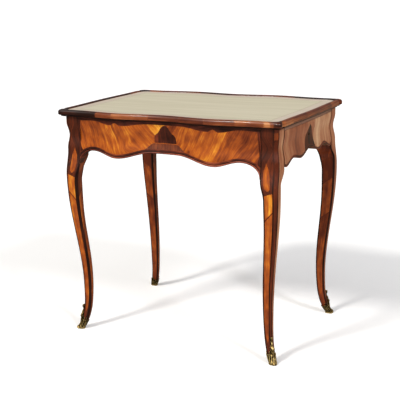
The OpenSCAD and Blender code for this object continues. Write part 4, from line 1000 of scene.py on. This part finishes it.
# Ring of the leg at height z, at share s of the way round from the middle of the cant: straight
# between the leg's corners, then averaged with its neighbours to round them
def shoeRing(z, s):
    c = legCorners(z)
    middle = (c[:, 7:8] + c[:, 0:1]) / 2
    path = np.concatenate([middle, c, middle], 1)
    girth = lengths(path[0])
    girth = girth / girth[-1]
    k = np.clip(np.searchsorted(girth, s, side="right") - 1, 0, len(girth) - 2)
    t = ((s - girth[k]) / (girth[k + 1] - girth[k]))[:, None]
    row = np.arange(len(s))
    ring = path[row, k] * (1 - t) + path[row, k + 1] * t
    return ring, path.mean(1)


def boss(a, z, place):  # exp(-((a - a0) / reach) squared) exp(-((z - z0) / reach) squared)
    a0, aReach, z0, zReach = place
    return mound(a - a0, aReach) * mound(z - z0, zReach)


# Surface of the shoe: leg ring + outward (play + wall + relief). The relief adds slanting flutes
# on the cup, veins and a midrib on the leaf, a rolled edge, two toe lobes, the curl of the tip and
# the bulge under it.
def shoePiece(corner):
    n, rows = shoe["sides"], shoe["rows"]
    s = np.arange(n) / n
    a = np.minimum(s, 1 - s)
    high = through(shoe["edge"], a)
    t = ease(np.linspace(0, 1, rows)) * 0.5 + np.linspace(0, 1, rows) * 0.5
    z = t[:, None] * high[None]
    aa, ss = np.broadcast_to(a, z.shape), np.broadcast_to(s, z.shape)
    ring, center = shoeRing(np.maximum(z, desk["foot"]).ravel(), ss.ravel())
    ring, center = ring.reshape(rows, n, 2), center.reshape(rows, n, 2)
    ring = (np.roll(ring, 1, 1) + ring * 2 + np.roll(ring, -1, 1)) / 4
    side = np.roll(ring, -1, 1) - np.roll(ring, 1, 1)
    out = np.stack([side[..., 1], -side[..., 0]], -1)
    out = out / np.linalg.norm(out, axis=2, keepdims=True)
    out = out * np.sign((out * (ring - center)).sum(2, keepdims=True))
    cup = np.clip((shoe["cupTop"] - z) / shoe["cupEase"], 0, 1) * np.clip(z / shoe["cupEase"], 0, 1)
    flutes = np.cos(2 * np.pi * (ss * shoe["flutes"] + z / shoe["fluteLean"]))
    veins = np.cos(2 * np.pi * (aa * shoe["veins"] - z / shoe["veinLean"])) * (aa < shoe["leafReach"])
    veins = veins * np.clip((z - shoe["leafFoot"]) / shoe["fadeIn"], 0, 1)
    rib = mound(aa, shoe["midribReach"]) * np.clip((z - shoe["midribFoot"]) / shoe["fadeIn"], 0, 1)
    rolled = mound(high[None] - z, shoe["beadWidth"]) + mound(z - 1.5, shoe["beadWidth"])
    lobes, tip, bulge, cleft = (boss(aa, z, shoe[key + "Boss"]) for key in ("lobe", "tip", "bulge", "cleft"))
    relief = shoe["flute"] * (flutes * cup + veins * shoe["vein"]) + shoe["midrib"] * rib \
        + shoe["bead"] * rolled
    outer = ring + out * (shoe["play"] + shoe["wall"] + relief + shoe["toe"] * lobes + shoe["curl"] * tip
                          + shoe["bulge"] * bulge)[..., None]
    inner = ring[::-1] + out[::-1] * shoe["play"]
    outer = np.concatenate([outer, z[..., None]], -1)
    inner = np.concatenate([inner, np.maximum(z[::-1], desk["foot"] - shoe["lap"])[..., None]], -1)
    rings = np.concatenate([outer, inner])[:, ::-1]
    uv = np.stack(np.broadcast_arrays(np.arange(len(rings))[:, None] / 100, s[None]), -1)
    # Rubbed bright where the relief stands out, dark in the cleft, under the edge and inside
    wear = np.clip(relief / 2.2, -0.4, 0.5) + 0.22 * lobes - 0.4 * cleft \
        - 0.25 * mound(high[None] - z - 5, 2.5)
    shade = np.r_[np.concatenate([wear, 0 * wear - 0.4])[:, ::-1].ravel(), 0, 0]
    cornerPiece("sabot", corner, ringSolid(rings, uv), shade, bronze, "bronze", "shoe_" + corner, sharp=60)


# Pin with a domed head (1 - cos, sin), driven through the shoe from the inner side
def pinPiece(corner):
    c = legCorners(np.array([pin["high"]]))[0]
    t = np.linspace(0.02, 1, 8) * math.pi / 2
    reach = np.r_[pin["dome"] * (1 - np.cos(t)), pin["dome"], pin["length"]]
    radius = np.r_[pin["head"] * np.sin(t), pin["shank"], pin["shank"]]
    a = np.arange(pin["sides"]) / pin["sides"] * 2 * math.pi
    x = c[3, 0] - shoe["play"] - shoe["wall"] - shoe["flute"] - pin["dome"] + reach
    y = (c[2, 1] + c[3, 1]) / 2 + radius[:, None] * np.cos(a)
    rings = np.stack(np.broadcast_arrays(x[:, None], y, pin["high"] - radius[:, None] * np.sin(a)), -1)
    cornerPiece("sabotPin", corner, ringSolid(rings, rings[..., :2] / 1000), 0.0, bronze, "bronze",
                "shoe_pins")


for corner in corners:
    shoePiece(corner)
    pinPiece(corner)
print("shoes made")


# CAD nodes that stay as they are

def dress(material, *names):
    for name in names:
        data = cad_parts[name].data
        data.materials.clear()
        data.materials.append(material)


dress(oakAlongX, "top_board", "runner_front", "runner_back", "guide_front", "guide_back", "kicker_front",
      "kicker_back", "drawer_stops", "drawer_side_front", "drawer_side_back", "drawer_bottom")
dress(oakAlongY, "glue_blocks", "drawer_back", "bearer_rail")
dress(railWood, "top_rail")
dress(walnutAlongY, "drawer_front")
dress(brass, "lock_case", "lock_screws")
dress(agedBrass, "keyhole_liner")
dress(steel, "lock_bolt")


# Studio: pale sweep, a key light to the left of the camera and a weaker one to its right, each a
# bare lamp inside a broad soft box, so that shadows are crisp at the feet and fade away from them.
# A light is (place, colour, strength of the lamp, strength of the soft box), and a spread is how
# wide it looks, in degrees. The sheen is a warm card far off, which the polish mirrors.
studio = {
    "floorHalf": 60.0, "floor": "#fafafa", "glow": 0.13, "sky": 0.17, "below": 0.02,
    "sheen": 0.45, "sheenColor": "#ffd9b0", "sheenWay": (0.464, 0.851, -0.243), "sheenEdge": (0.82, 0.99),
    "lights": {"key": ((-1.15, -3.0, 2.9), "#fffcf7", 2.0, 1.05),
               "side": ((3.0, -1.6, 2.5), "#fafbff", 1.2, 0.6)},
    "lampSpread": 10, "softSpread": 66,
}


def distantLight(name, source, strength, spread, color):
    light = bpy.data.lights.new(name, "SUN")
    light.angle = math.radians(spread)
    light.energy = strength
    light.color = linear(color)[:3]
    lamp = placed(name, light)
    lamp.location = source
    lamp.rotation_euler = (-Vector(source)).to_track_quat("-Z", "Y").to_euler()


floorMesh = bpy.data.meshes.new("floor")
w = studio["floorHalf"]
floorMesh.from_pydata([(-w, -w, 0), (w, -w, 0), (w, w, 0), (-w, w, 0)], [], [(0, 1, 2, 3)])
floor = placed("floor", floorMesh)
floorPaint, floorShader = newMaterial("paintedSweep")
white = linear("#ffffff")
setInputs(floorPaint, floorShader, {
    "Base Color": linear(studio["floor"]), "Roughness": 0.9, "Emission Color": white,
    "Emission Strength": studio["glow"]})  # lit from below, like a light table
floorMesh.materials.append(floorPaint)
floor.visible_glossy = False  # the polish shows the dim room beyond the sweep, not the sweep

for name, (source, color, lampStrength, softStrength) in studio["lights"].items():
    distantLight(name + "Lamp", source, lampStrength, studio["lampSpread"], color)
    distantLight(name + "SoftBox", source, softStrength, studio["softSpread"], color)
bpy.context.scene.view_settings.view_transform = "Standard"
world = bpy.data.worlds.new("studio")
world.use_nodes = True
way = addNode(world, "TexCoord", output="Generated")
rise = addNode(world, "SeparateXYZ", {0: way}, "Z")
sky = addNode(world, "MapRange", {"Value": rise, "From Min": 0.0, "From Max": 0.06,
                                  "To Min": studio["below"], "To Max": studio["sky"]})
card = addNode(world, "VectorMath", {0: way, 1: studio["sheenWay"]}, "Value", operation="DOT_PRODUCT")
card = addNode(world, "MapRange", {"Value": card, "From Min": studio["sheenEdge"][0],
                                   "From Max": studio["sheenEdge"][1]})
tint = addNode(world, "Mix", {0: card, 6: white, 7: linear(studio["sheenColor"])}, 2, data_type="RGBA")
sky = addNode(world, "Math", {0: card, 1: studio["sheen"], 2: sky}, operation="MULTIPLY_ADD")
seen = addNode(world, "LightPath", output="Is Camera Ray")  # beyond the sweep the eye sees plain white
sky = addNode(world, "Mix", {0: seen, 2: sky, 3: 1.0})
tint = addNode(world, "Mix", {0: seen, 6: tint, 7: white}, 2, data_type="RGBA")
setInputs(world, world.node_tree.nodes["Background"], {"Color": tint, "Strength": sky})
bpy.context.scene.world = world

# Camera: place and turn from the photograph's perspective
shot = {"place": (1.41886, -2.63102, 1.17217), "azimuth": 28.591, "pitch": 14.086, "roll": -1.460,
        "lens": 84.151, "sensor": 36.0}
az, el, roll = (math.radians(shot[key]) for key in ("azimuth", "pitch", "roll"))
ahead = Vector((-math.sin(az) * math.cos(el), math.cos(az) * math.cos(el), -math.sin(el)))
right = Vector((math.cos(az), math.sin(az), 0))
up = right.cross(ahead)
across = right * math.cos(roll) + up * math.sin(roll)
upward = up * math.cos(roll) - right * math.sin(roll)
camera = placed("camera", bpy.data.cameras.new("camera"))
camera.data.lens = shot["lens"]
camera.data.sensor_width = shot["sensor"]
turn = Matrix((across, upward, -ahead)).transposed().to_4x4()
camera.matrix_world = Matrix.Translation(shot["place"]) @ turn
bpy.context.scene.camera = camera
print("studio set")
